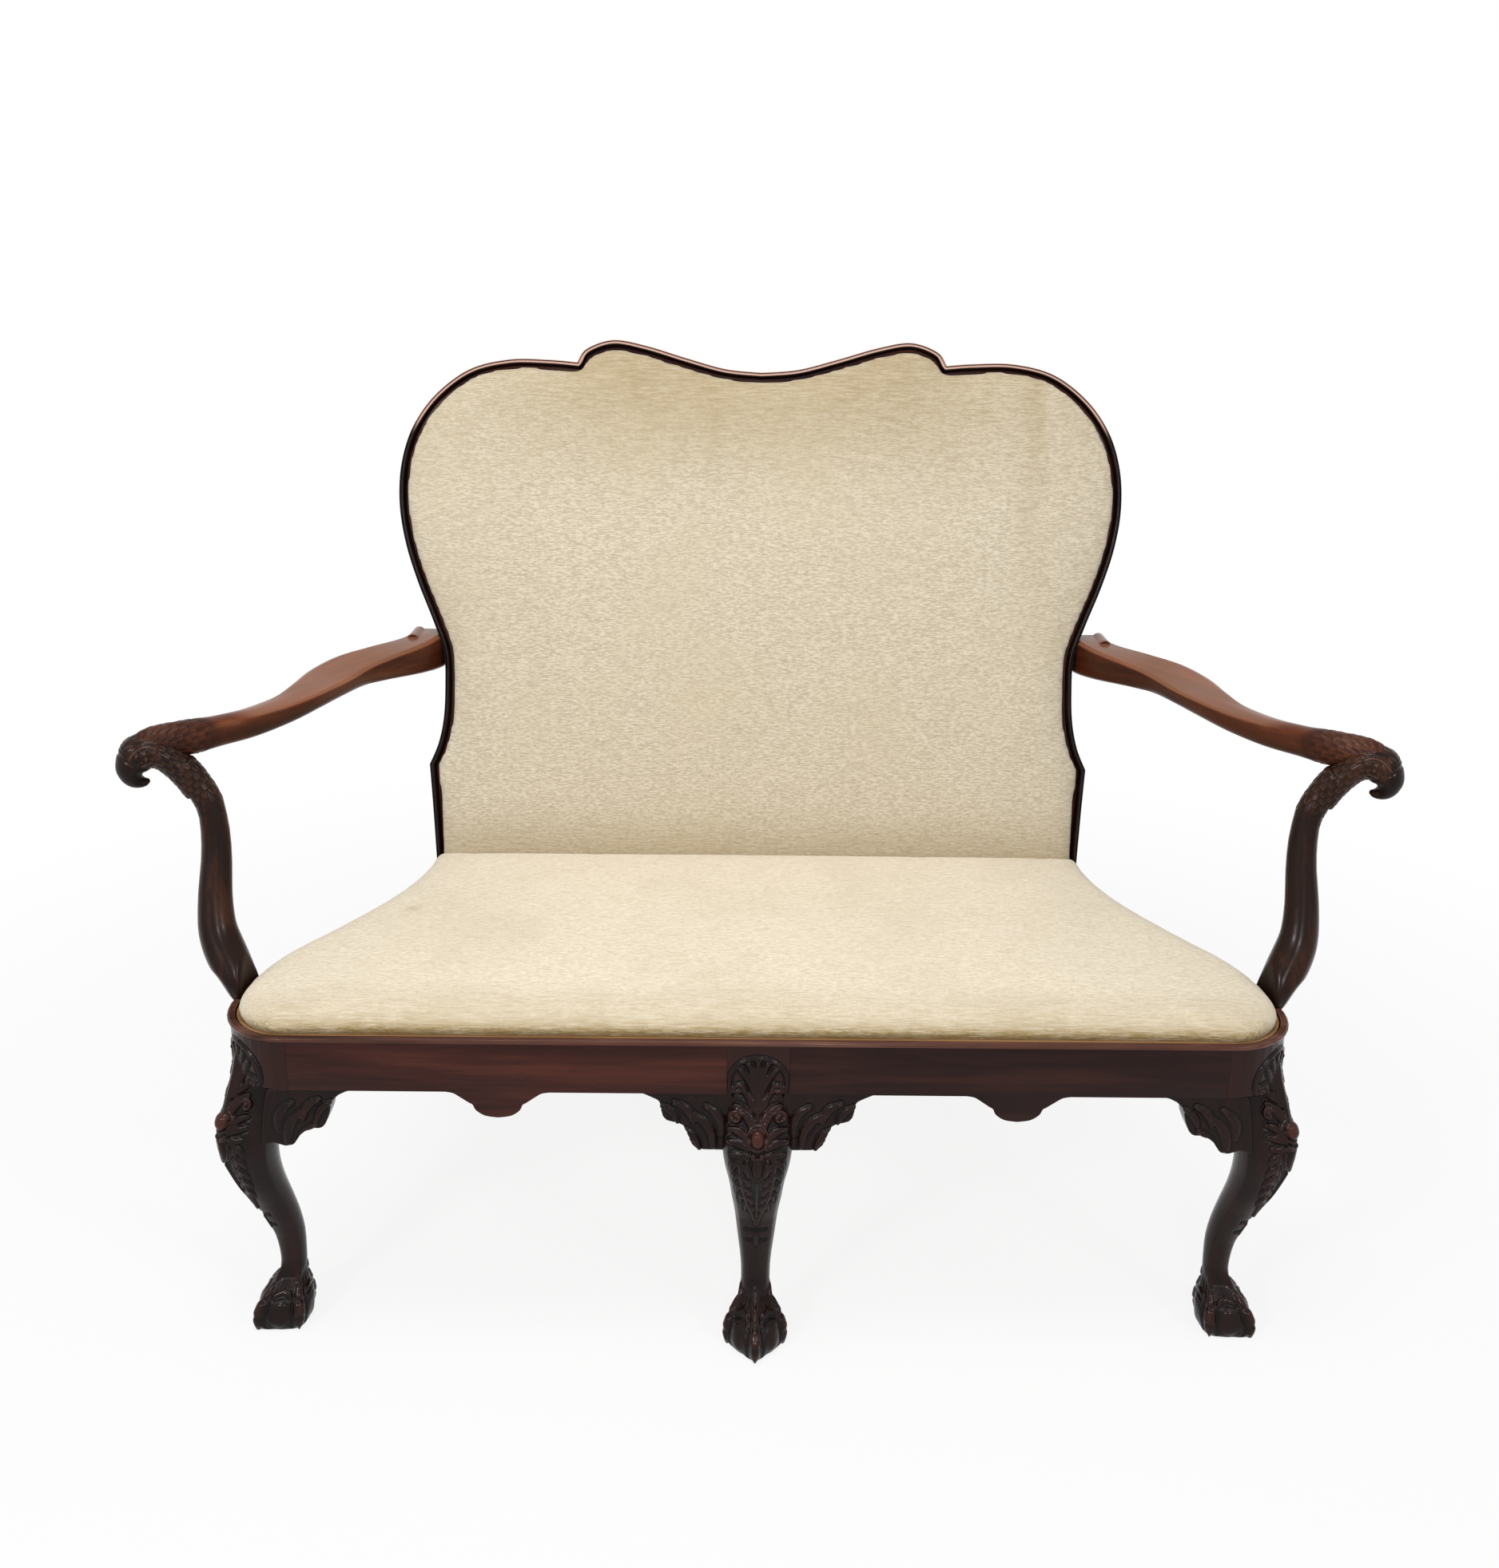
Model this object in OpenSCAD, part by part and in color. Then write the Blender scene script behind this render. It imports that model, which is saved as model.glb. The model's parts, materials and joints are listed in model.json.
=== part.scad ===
// Two-seat cabriole settee with a cartouche back, eagle-headed arm supports and a drop-in seat.
// The front of the seat faces -Y, the floor is z = 0, and the whole is centred on x and y.

/* [Seat frame] */
// Width of the seat frame over the outer faces of the side rails
seat_w = 1246; // [1100:2:1500]
// Depth from the face of the front rail to the front of the rear posts
seat_d = 530; // [480:1:620]
// Height of the top of the rails above the floor
rail_top = 408; // [370:1:440]
// Height of the rails
rail_h = 62; // [50:1:76]
// Thickness of the rails
rail_t = 34; // [26:1:44]
// Width over which each front corner is rounded
corner_w = 79; // [60:1:120]
// Depth over which each front corner is rounded
corner_d = 86; // [60:1:130]
// Reach of each side rail past the face of the rear post that it meets
post_reveal = 5.35; // [0:0.05:20]
// Depth of the rebate that the drop-in seat lies in
rebate_h = 14; // [8:1:18]
// Thickness of the rear rail
rear_rail_t = 46; // [36:1:56]
// Width of the ledge of the rear rail under the drop-in seat
rear_ledge = 17; // [10:1:24]
// Width of the front-to-back rail under the seat
medial_w = 60; // [40:1:80]
// Height of the front-to-back rail under the seat
medial_h = 34; // [24:1:38]
// Drop of the two pendants of the apron below the front rail
pendant_h = 33; // [15:1:50]
// Half width of each pendant
pendant_w = 60; // [40:1:90]
// Offset of each pendant outward from the middle of its rail
pendant_shift = 12.5; // [0:0.5:30]
// Length of each corner block along the rails
corner_block_run = 52; // [40:1:60]
// Height of the corner blocks
corner_block_h = 36; // [28:1:44]

/* [Lip moulding] */
// Height of the moulding that stands on the rails
lip_h = 6; // [4:0.5:10]
// Overhang of the moulding in front of the rails
lip_out = 3; // [2:0.5:6]
// Width of the moulding on top of the rails
lip_in = 6; // [5:0.5:10]

/* [Front legs] */
// Width of the square block of the centre leg
block_w = 72; // [60:1:90]
// Depth of the square block of the centre leg
block_d = 84; // [76:1:100]
// Width of the block of each corner leg
corner_block = 84; // [80:1:100]
// How much wider the knee of the centre leg is than its block
knee_over = 12; // [0:1:20]
// Width of the knee of a corner leg and depth of every knee
knee_d = 68; // [58:1:76]
// Forward throw of the knee
knee_throw = 19; // [10:1:26]
// Backward throw of the ankle of a corner leg
corner_ankle = 24; // [10:1:30]
// Backward throw of the ankle of the centre leg
centre_ankle = 8; // [0:1:20]
// Height of the foot
foot_h = 66; // [50:1:76]
// Diameter of the ball
ball_dia = 64; // [50:1:72]
// Reach of each claw from the axis of the foot
claw_reach = 38; // [32:1:46]
// Extra reach of the front claw
toe_reach = 6; // [0:1:10]
// Throw of the foot of a corner leg, backward
corner_foot = 7; // [0:1:16]
// Throw of the foot of the centre leg, forward
centre_foot = 19; // [6:1:24]

/* [Ear brackets] */
// Width of the ears of the centre leg
centre_ear_w = 84; // [60:1:100]
// Width of the ears of the corner legs
corner_ear_w = 62; // [40:1:80]
// Height of the ears
ear_h = 75; // [50:1:90]
// Thickness of the ears
ear_t = 30; // [20:1:34]
// Set-back of the ears from the face of the rail
ear_back = 2; // [0:0.5:4]

/* [Back] */
// Height of the back above the seat line
back_h = 709; // [600:1:800]
// Difference between the greatest widths of the seat and of the back
back_taper = 238; // [120:2:320]
// Height above the rails of the seat line, where the back leaves the seat
seat_rise = 29; // [20:1:40]
// Rake of the back in degrees
rake = 10; // [4:1:16]
// Thickness of the wood of the back
back_t = 30; // [24:1:40]
// Width of the stiles at the waist
stile_w = 44; // [36:1:56]
// Depth of the crest rail at its middle
crest_d = 66; // [50:1:90]
// Height of the lower back rail
lower_rail_h = 60; // [40:1:80]
// Width of the upright in the middle of the back
muntin_w = 60; // [40:1:80]
// Width of the show-wood bead
bead_w = 9; // [6:0.5:14]
// Height of the show-wood bead
bead_h = 9; // [6:0.5:14]

/* [Rear legs] */
// Depth of a rear leg at the seat
rear_leg_d = 46; // [38:1:56]
// Depth of a rear leg at the floor
rear_foot_d = 44; // [34:1:52]
// Distance that the rear feet kick back
rear_kick = 138; // [80:1:170]

/* [Arms] */
// Width of the arm at its broadest
arm_w = 54; // [40:1:66]
// Height of the arm at its joint with the back
arm_h = 51; // [36:1:60]
// Height of the middle of that joint above the rails
arm_rise = 312; // [280:1:340]
// Drop of the arm towards the front
arm_drop = 16; // [0:1:30]
// Distance of the rear end of the arm's centre line outside the waist of the back
arm_root_out = 27; // [10:1:40]
// Distance of that end behind the face of the back
arm_root_back = 32; // [20:1:50]
// Distance of the front end of that line outside the side rail
arm_tip_out = 77; // [60:1:100]
// Distance of the front end behind the middle of the foot of the support
arm_tip_back = 45; // [20:1:70]

/* [Arm supports] */
// Reach of the foot of the support below the top of the side rail
support_drop = 52; // [33:1:58]
// Thickness of the foot that is let into the side rail
foot_t = 16; // [10:1:20]
// Length of the foot along the side rail
foot_run = 66; // [50:1:80]
// Height from the lip moulding to the middle of the head
support_rise = 290; // [260:1:340]
// Outward reach of the head from the foot
support_reach = 105; // [80:1:125]
// Backward lean of the head from the foot
support_lean = 65; // [20:1:90]
// Thickness of the neck
neck_w = 33; // [28:1:42]
// Depth of the side rail at which the support stands
support_y = 130; // [120:1:180]
// Turn of the support towards the front in degrees
support_turn = 20; // [0:1:30]
// Diameter of the eagle's head
head_dia = 52; // [40:1:64]
// Diameter of the root of the beak
beak_dia = 32; // [20:1:40]

/* [Drop-in seat] */
// Width of the members of the slip frame
slip_w = 55; // [40:1:70]
// Thickness of the slip frame
slip_t = 18; // [14:1:24]
// Gap between the slip frame and the rebate, filled by the turned-down cover
slip_gap = 2; // [1:0.25:4]
// Rise of the cushion above the slip frame at its middle, before the swell of its rear half
pad_h = 25; // [22:1:50]
// Rise of the cushion at its rounded front edge
pad_edge_h = 16; // [12:1:20]
// Rise of the cushion at the middle of its rear edge
pad_rear_h = 31; // [16:1:34]
// Forward swell of the back upholstery at its middle
back_pad_h = 24; // [12:1:40]
// Distance from the rear posts to the drop-in seat
seat_rear_gap = 17; // [15:1:24]

/* [Cloth and fixings] */
// Thickness of the webbing
web_t = 1.5; // [1:0.25:2.5]
// Width of the webbing
web_w = 50; // [40:1:60]
// Number of webbing strips along the seat
web_count = 9; // [5:1:13]
// Thickness of hessian and lining cloths
cloth_t = 1; // [0.75:0.25:2]
// Diameter of the dowels
dowel_dia = 10; // [6:1:14]
// Length of the dowels
dowel_len = 44; // [30:1:60]
// Shank diameter of the screws
screw_dia = 5; // [3:0.5:6]
// Head diameter of the screws
screw_head = 10; // [7:0.5:12]
// Diameter of the heads of the cloth tacks
tack_dia = 9; // [6:0.5:12]
// Thickness of those heads
tack_t = 1.2; // [0.8:0.1:2]
// Distance between the tacks
tack_gap = 90; // [50:5:140]

/* [Hidden] */

wood_dark = "#4b2d28";
wood_arm = "#6a3b28";
wood_plain = "#8a6848";
cloth_pale = "#cfc3a2";
cloth_jute = "#a48e66";
steel_grey = "#8d8f92";

// Overrun of cuts, and the running clearance between the seat and what it lifts past
over = 2;
clear = 0.4;

half_w = seat_w / 2;
front_run = half_w - corner_w;
back_w = seat_w - back_taper;
knee_w = block_w + knee_over;
back_foot_share = 0.914;
rear_w = back_w * back_foot_share + 2 * post_reveal;
pendant_x = (block_w / 2 + half_w - corner_block) / 2 + pendant_shift;
seat_line = rail_top + seat_rise;
support_foot = rail_top - support_drop;
foot_front = support_y - foot_run / 2;
foot_rear = support_y + foot_run / 2;
rail_low = rail_top - rail_h;
rebate_z = rail_top - rebate_h;
slip_edge = lip_in + slip_gap;
slip_rear = seat_d - seat_rear_gap;
pocket_rear = slip_rear + slip_gap;
rear_rail_y = slip_rear - rear_ledge;
slip_top = rebate_z + slip_t;
pad_base = slip_top + web_t + cloth_t;
rear_face = seat_d + back_t / cos(rake);

// The settee reaches from the tip of the centre toe to the heels of the rear legs
centre_base_share = 0.38;
toe_share = 0.28;
centre_base = [0, knee_d * centre_base_share];
toe_front = centre_base[1] - lerp(centre_foot, -centre_ankle, pow(toe_share, 2)) - claw_reach - toe_reach;
heel_rear = seat_d + rear_kick + rear_foot_d;
middle_y = (toe_front + heel_rear) / 2;

function lerp(a, b, t) = a + (b - a) * t;
function flip(points) = [for (i = [len(points) - 1:-1:0]) points[i]];
function mirrored(points) = [for (p = points) [-p[0], p[1]]];
function mean(points) = [for (p = points) 1] * points / len(points);

// A smooth curve through rows of numbers
function spline_row(p, q, r, s, t) =
    (2 * q + (r - p) * t + (2 * p - 5 * q + 4 * r - s) * t * t
    + (3 * q - p - 3 * r + s) * t * t * t) / 2;
function spline(rows, steps) = [
    for (i = [0:len(rows) - 2])
        for (k = [0:steps - 1])
            spline_row(rows[max(i - 1, 0)], rows[i], rows[i + 1], rows[min(i + 2, len(rows) - 1)], k / steps),
    rows[len(rows) - 1]
];

// Unit normal at each point of an open or closed run, to the left of its direction
function unit(v) = v / norm(v);
function side_normal(a, b) = let (d = unit(b - a)) [-d[1], d[0]];
function inset(points, depth, closed = false) = [
    for (i = [0:len(points) - 1])
        let (
            n = len(points),
            before = points[closed ? (i + n - 1) % n : max(i - 1, 0)],
            after = points[closed ? (i + 1) % n : min(i + 1, n - 1)],
            here = points[i],
            n1 = before == here ? side_normal(here, after) : side_normal(before, here),
            n2 = after == here ? side_normal(before, here) : side_normal(here, after),
            bisector = unit(n1 + n2)
        )
        here + bisector * depth / max(bisector * n1, 1 / 2)
];

// A solid through rings that all have the same number of points
module loft(rings) {
    n = len(rings[0]);
    m = len(rings);
    sides = [
        for (i = [0:m - 2])
            for (j = [0:n - 1])
                let (a = i * n + j, b = i * n + (j + 1) % n)
                each [[a, a + n, b], [b, a + n, b + n]]
    ];
    caps = [
        for (j = [0:n - 1])
            let (k = (j + 1) % n)
            each [[m * n, j, k], [m * n + 1, (m - 1) * n + k, (m - 1) * n + j]]
    ];
    polyhedron(
        concat([for (ring = rings) each ring], [mean(rings[0]), mean(rings[m - 1])]),
        concat(sides, caps), convexity = 6
    );
}

module box(low, high) {
    translate(low)
        cube(high - low);
}

module both_sides() {
    children();
    mirror([1, 0, 0])
        children();
}

module on_side(side) {
    if (side == "left")
        mirror([1, 0, 0])
            children();
    else
        children();
}

module placed() {
    translate([0, -middle_y, 0])
        children();
}

// Plan of the seat: the outer face of the rails from the middle of the front to the rear post
plan_corner = [
    for (a = [0:9:90])
        [front_run + corner_w * sin(a), corner_d - corner_d * cos(a)]
];
side_pull_share = 0.34;
side_turn_share = 0.525;
side_start = [half_w, corner_d];
side_pull = [half_w, corner_d + (seat_d - corner_d) * side_pull_share];
side_turn = [rear_w / 2, corner_d + (seat_d - corner_d) * side_turn_share];
side_end = [rear_w / 2, seat_d + rail_t];
side_steps = 14;
plan_side = [
    for (k = [1:side_steps])
        let (t = k / side_steps)
        side_start * pow(1 - t, 3) + 3 * side_pull * t * pow(1 - t, 2)
        + 3 * side_turn * t * t * (1 - t) + side_end * pow(t, 3)
];
plan_half = concat([[0, 0]], plan_corner, plan_side);
front_shares = [0, 0.3, 0.6, 0.85];
function plan_line(depth) = inset(plan_half, depth);
function lines_x(points, y) =
    [
        for (i = [1:len(points) - 1])
            let (a = points[i - 1], b = points[i])
            if (a[1] <= y && y < b[1]) lerp(a[0], b[0], (y - a[1]) / (b[1] - a[1]))
    ][0];
function cut_line(points, rear) =
    let (inside = [for (p = points) if (p[1] < rear) p], n = len(inside))
    concat(inside, [lerp(points[n - 1], points[n], (rear - points[n - 1][1]) / (points[n][1] - points[n - 1][1]))]);
function plan_area(depth, rear) =
    let (line = cut_line(plan_line(depth), rear), line_b = [for (i = [1:len(line) - 1]) line[i]])
    concat(line, flip(mirrored(line_b)));

module plan_solid(depth, rear, low, high) {
    translate([0, 0, low])
        linear_extrude(high - low)
            polygon(plan_area(depth, rear));
}

module plan_band(outer, inner, low, high) {
    line = plan_line(outer);
    translate([0, 0, low])
        linear_extrude(high - low)
            polygon(concat(line, flip(plan_line(inner))));
}

module seat_pocket() {
    plan_solid(lip_in, pocket_rear, rebate_z, rail_top + over);
}

// Room above the leg blocks for the lining cloth of the drop-in seat and its tacks
module block_pocket() {
    plan_solid(rail_t, rear_rail_y, rebate_z - cloth_t - tack_t - over, rebate_z + over);
}

// Rails
pendant_shares = [[1, 0], [0.85, 0.05], [0.72, 0.2], [0.55, 0.42], [0.48, 0.5], [0.42, 0.72], [0.25, 0.93], [0, 1]];
pendant_side = [for (p = spline(pendant_shares, 3)) [p[0] * pendant_w, rail_low - p[1] * pendant_h]];

module apron_face() {
    polygon(concat(
        [[block_w / 2, rail_top], [block_w / 2, rail_low]],
        [for (p = pendant_side) [pendant_x - p[0], p[1]]],
        flip([for (p = pendant_side) if (p[0] > 0) [pendant_x + p[0], p[1]]]),
        [[half_w - corner_block, rail_low], [half_w - corner_block, rail_top]]
    ));
}

module front_rail(side) {
    color(wood_dark)
        placed()
            on_side(side)
                difference() {
                    intersection() {
                        translate([0, rail_t + over, 0])
                            rotate([90, 0, 0])
                                linear_extrude(rail_t + 2 * over)
                                    apron_face();
                        plan_band(0, rail_t, rail_low - pendant_h - over, rail_top);
                    }
                    seat_pocket();
                    at_front_block_screws(screw_dia, screw_head);
                }
}

module side_rail(side) {
    color(wood_dark)
        placed()
            on_side(side)
                difference() {
                    intersection() {
                        plan_band(0, rail_t, rail_low, rail_top);
                        box([0, corner_block, rail_low - over], [seat_w, seat_d, rail_top + over]);
                    }
                    seat_pocket();
                    support_foot_space();
                    at_support_screws(screw_dia, screw_head);
                }
}

module rear_rail() {
    color(wood_dark)
        placed()
            difference() {
                box([-post_in, rear_rail_y, rail_low], [post_in, rear_rail_y + rear_rail_t, rail_top]);
                seat_pocket();
            }
}

module medial_rail() {
    color(wood_plain)
        placed()
            box([-medial_w / 2, block_d, rail_low], [medial_w / 2, rear_rail_y, rail_low + medial_h]);
}

// Lip moulding: a rounded strip that stands on the rails and frames the drop-in seat
lip_shares = [[1, 0], [1, 0.9], [0.85, 1], [-0.3, 1], [-0.75, 0.88], [-1, 0.6], [-1, 0.4], [-0.75, 0.12], [-0.4, 0]];
function lip_point(p) = [p[0] > 0 ? p[0] * lip_in : p[0] * lip_out, rail_top + p[1] * lip_h];
lip_profile = [for (p = lip_shares) lip_point(p)];

module lip_front() {
    color(wood_arm)
        placed()
            translate([-front_run, 0, 0])
                rotate([90, 0, 90])
                    linear_extrude(2 * front_run)
                        polygon(lip_profile);
}

module lip_run(side, front, rear) {
    runs = [
        for (p = lip_profile)
            let (line = inset(plan_half, p[0]))
            [for (i = [1:len(line) - 1]) [line[i][0], line[i][1], p[1]]]
    ];
    color(wood_arm)
        placed()
            on_side(side)
                intersection() {
                    loft([for (i = [0:len(runs[0]) - 1]) [for (run = runs) run[i]]]);
                    box([0, front, rail_top - over], [seat_w, rear, rail_top + lip_h + over]);
                }
}

module lip_corner(side) {
    lip_run(side, -seat_d, foot_front);
}

module lip_side(side) {
    lip_run(side, foot_rear, seat_d);
}

// Front legs: height, knee throw, ankle throw, width across, depth and squareness, each a share
leg_shares = [
    [0.985, -0.87, 0, 0.72, 0.84, 0.2],
    [0.939, -0.56, 0, 0.74, 0.87, 0.2],
    [0.865, -0.25, 0, 0.78, 0.89, 0.35],
    [0.811, 0.07, 0, 0.90, 0.91, 0.4],
    [0.762, 0.41, 0, 0.99, 0.93, 0.38],
    [0.718, 0.75, 0, 1.00, 0.98, 0.35],
    [0.669, 0.98, 0, 0.98, 1.00, 0.3],
    [0.618, 0.97, 0, 0.91, 0.94, 0.3],
    [0.559, 0.75, 0, 0.79, 0.84, 0.28],
    [0.495, 0.40, 0.04, 0.71, 0.76, 0.25],
    [0.429, 0.05, 0.23, 0.62, 0.67, 0.22],
    [0.358, 0, 0.62, 0.55, 0.60, 0.2],
    [0.294, 0, 0.91, 0.48, 0.53, 0.15],
    [0.233, 0, 1, 0.43, 0.48, 0.1],
    [0.191, 0, 1, 0.42, 0.46, 0.1]
];
// Foot: height, ball radius and claw reach, each a share of the height, half the ball and the reach
foot_shares = [
    [0.93, 0.50, 0.46], [0.83, 0.64, 0.53], [0.73, 0.76, 0.62], [0.64, 0.90, 0.74], [0.55, 0.97, 0.84],
    [0.46, 0.98, 0.90], [0.37, 0.98, 0.96], [toe_share, 0.99, 1.00], [0.18, 1.00, 0.96], [0.08, 0.97, 0.91],
    [0, 0.85, 0.83]
];
leg_sides = 24;
// Half the spread of a claw round the ball in degrees, and how fast the claw thins to its edges
claw_spread = 28;
claw_taper = 1.5;

function square_point(angle, square_share) =
    [cos(angle), sin(angle)] * lerp(1, 1 / max(abs(cos(angle)), abs(sin(angle))), square_share);
function leg_ring(z, x, y, rx, ry, square_share) = [
    for (i = [0:leg_sides - 1])
        let (p = square_point(i * 360 / leg_sides, square_share))
        [x + rx * p[0], y + ry * p[1], z]
];
function claw_share(angle) =
    let (off = abs(((angle + 45) % 90) - 45))
    off < claw_spread ? pow(cos(off * 90 / claw_spread), claw_taper) : 0;
function foot_ring(z, x, y, ball, claw, heading) = [
    for (i = [0:leg_sides - 1])
        let (
            angle = i * 360 / leg_sides,
            turn = angle - heading + 360,
            front = max(cos(turn), 0),
            reach = lerp(ball, claw * (1 + toe_reach / claw_reach * pow(front, 4)), claw_share(turn))
        )
        [x + max(reach, ball) * cos(angle), y + max(reach, ball) * sin(angle), z]
];

// The leg leans in its heading: -90 looks straight forward, -45 to the front right
module cabriole(heading, base, across_share, ankle, foot) {
    ahead = [cos(heading), sin(heading)];
    rows = spline(leg_shares, 2);
    upper = [
        for (row = rows)
            let (at = base + ahead * (row[1] * knee_throw - row[2] * ankle))
            leg_ring(
                row[0] * rail_top, at[0], at[1],
                lerp(knee_d * row[4], knee_w * row[3], across_share) / 2, knee_d / 2 * row[4], row[5]
            )
    ];
    lower = [
        for (row = foot_shares)
            let (at = base + ahead * lerp(foot, -ankle, pow(row[0], 2)))
            foot_ring(row[0] * foot_h, at[0], at[1], row[1] * ball_dia / 2, row[2] * claw_reach, heading)
    ];
    loft(flip(concat(upper, lower)));
}

corner_base_shares = [0.42, 0.536];
corner_base = [half_w - corner_block * corner_base_shares[0], corner_block * corner_base_shares[1]];

module front_leg_centre() {
    color(wood_dark)
        placed()
            difference() {
                union() {
                    cabriole(-90, centre_base, 1, centre_ankle, centre_foot);
                    box([-block_w / 2, 0, rail_low], [block_w / 2, block_d, rail_top]);
                }
                seat_pocket();
                block_pocket();
            }
}

module front_leg(side) {
    color(wood_dark)
        placed()
            on_side(side)
                difference() {
                    union() {
                        cabriole(-45, corner_base, 0, corner_ankle, -corner_foot);
                        intersection() {
                            plan_solid(0, seat_d, rail_low, rail_top);
                            box(
                                [half_w - corner_block, -over, rail_low - over],
                                [half_w + over, corner_block, rail_top + over]
                            );
                        }
                    }
                    seat_pocket();
                    block_pocket();
                    at_front_block_screws(screw_dia, screw_head);
                }
}

// Ears: carved brackets that fill the angle between a leg and the rail above it
centre_ear_shares = [
    [0, 1], [0.07, 1], [0.24, 0.995], [0.34, 0.98], [0.407, 0.9], [0.447, 0.76], [0.476, 0.655], [0.527, 0.57],
    [0.6, 0.53], [0.683, 0.51], [0.755, 0.485], [0.806, 0.415], [0.83, 0.295], [0.835, 0.195], [0.87, 0.137],
    [0.98, 0.074], [1.125, 0]
];
corner_ear_shares = [
    [0, 0.94], [0.04, 0.94], [0.14, 1], [0.22, 0.975], [0.305, 0.866], [0.374, 0.777], [0.46, 0.71],
    [0.58, 0.68], [0.7, 0.682], [0.77, 0.67], [0.837, 0.615], [0.895, 0.51], [0.94, 0.41], [0.958, 0.32],
    [0.974, 0.237], [1.026, 0.178], [1.13, 0.097], [1.266, 0.038], [1.47, 0]
];

// Side of the leg as the ear meets it, from the rail down: distance from the leg's axis and height
function ear_root(knee, column, lean) = [
    for (row = leg_shares)
        let (z = row[0] * rail_top)
        if (z < rail_low && z > rail_low - ear_h)
            [knee / 2 * row[column] - lean * row[1] * knee_throw + clear, z]
];

module ear_shape(shares, width, knee, column, lean) {
    root = ear_root(knee, column, lean);
    start = knee / 2 + clear;
    polygon(concat(
        [[start, rail_low]],
        root,
        [[root[len(root) - 1][0], rail_low - ear_h]],
        [for (p = shares) if (p[0] > 0) [start + p[0] * width, rail_low - p[1] * ear_h]]
    ));
}

module ear_centre(side) {
    color(wood_dark)
        placed()
            on_side(side)
                translate([0, ear_back + ear_t, 0])
                    rotate([90, 0, 0])
                        linear_extrude(ear_t)
                            ear_shape(centre_ear_shares, centre_ear_w, knee_w, 3, 0);
}

module ear_front(side) {
    color(wood_dark)
        placed()
            on_side(side)
                translate([corner_base[0], ear_back + ear_t, 0])
                    rotate([90, 0, 0])
                        linear_extrude(ear_t)
                            mirror([1, 0])
                                ear_shape(corner_ear_shares, corner_ear_w, knee_d, 4, cos(45));
}

module ear_side(side) {
    color(wood_dark)
        placed()
            on_side(side)
                intersection() {
                    translate([half_w - ear_back - ear_t, corner_base[1], 0])
                        rotate([90, 0, 90])
                            linear_extrude(ear_t)
                                ear_shape(corner_ear_shares, corner_ear_w, knee_d, 4, cos(45));
                    plan_solid(ear_back, seat_d, rail_low - ear_h - over, rail_low);
                }
}

// Corner blocks inside the seat frame, with their screws
front_block_at = [half_w - corner_block, rail_t];

module at_front_block_screws(shank, head, past = 0) {
    place = front_block_at + [-1, 1] * (corner_block_run / 2 - screw_dia / sqrt(2));
    translate([place[0], place[1], rail_low + corner_block_h / 2])
        rotate([0, 0, 45])
            screw_shape(shank, head, corner_block_run, past);
}

// A screw whose shank points along -Y, or the hole for it, whose mouth reaches past the face
module screw_shape(shank, head, length, past = 0) {
    rotate([90, 0, 0])
        cylinder(h = length, d = shank, $fn = 24);
    rotate([-90, 0, 0])
        cylinder(h = screw_dia + past, d = head, $fn = 24);
}

module front_corner_blocks() {
    color(wood_plain)
        placed()
            both_sides()
                difference() {
                    translate([front_block_at[0], front_block_at[1], rail_low])
                        linear_extrude(corner_block_h)
                            polygon([[0, 0], [0, corner_block_run], [-corner_block_run, 0]]);
                    at_front_block_screws(screw_dia, screw_head, over);
                }
}

module rear_corner_blocks() {
    color(wood_plain)
        placed()
            both_sides()
                intersection() {
                    plan_solid(rail_t, seat_d, rail_low, rail_low + corner_block_h);
                    translate([post_in, rear_rail_y, rail_low])
                        linear_extrude(corner_block_h)
                            polygon([
                                [corner_block_run, 0],
                                [corner_block_run, -corner_block_run * 2],
                                [-corner_block_run, 0]
                            ]);
                }
}

// Back: outline in shares of half the width and of the height, from the seat to the middle of the crest
back_side_shares = [[0.919, 0.03], [0.925, 0.11], [0.931, 0.178]];
back_shoulder_shares = [
    [0.931, 0.178], [0.905, 0.220], [0.889, 0.270], [0.883, 0.330], [0.885, 0.400], [0.912, 0.460],
    [0.955, 0.540], [0.986, 0.615], [1.000, 0.690], [0.992, 0.765], [0.958, 0.835], [0.895, 0.895],
    [0.800, 0.943], [0.690, 0.962], [0.580, 0.962], [0.506, 0.958]
];
back_hump_shares = [
    [0.506, 0.958], [0.480, 0.983], [0.407, 1.000], [0.317, 0.990], [0.208, 0.968], [0.099, 0.948], [0, 0.942]
];
function back_point(p) = [p[0] * back_w / 2, p[1] * back_h / cos(rake)];
function back_run(shares, steps) = [for (p = spline(shares, steps)) back_point(p)];
function tail(points) = [for (i = [1:len(points) - 1]) points[i]];
back_foot = [back_w / 2 * back_foot_share, (rail_top - over - seat_line) / cos(rake)];
back_half = concat(
    [back_foot], back_run(back_side_shares, 1), tail(back_run(back_shoulder_shares, 2)),
    tail(back_run(back_hump_shares, 2))
);
back_outline = concat(back_half, tail(flip(mirrored(back_half))));

// Children drawn in the plane of the back, with their thickness running backward from the face
module on_back(depth = 0) {
    translate([0, seat_d, seat_line])
        rotate([90 - rake, 0, 0])
            translate([0, 0, -depth])
                children();
}

module back_slab(front, rear) {
    on_back(rear)
        linear_extrude(rear - front)
            children();
}

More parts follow.
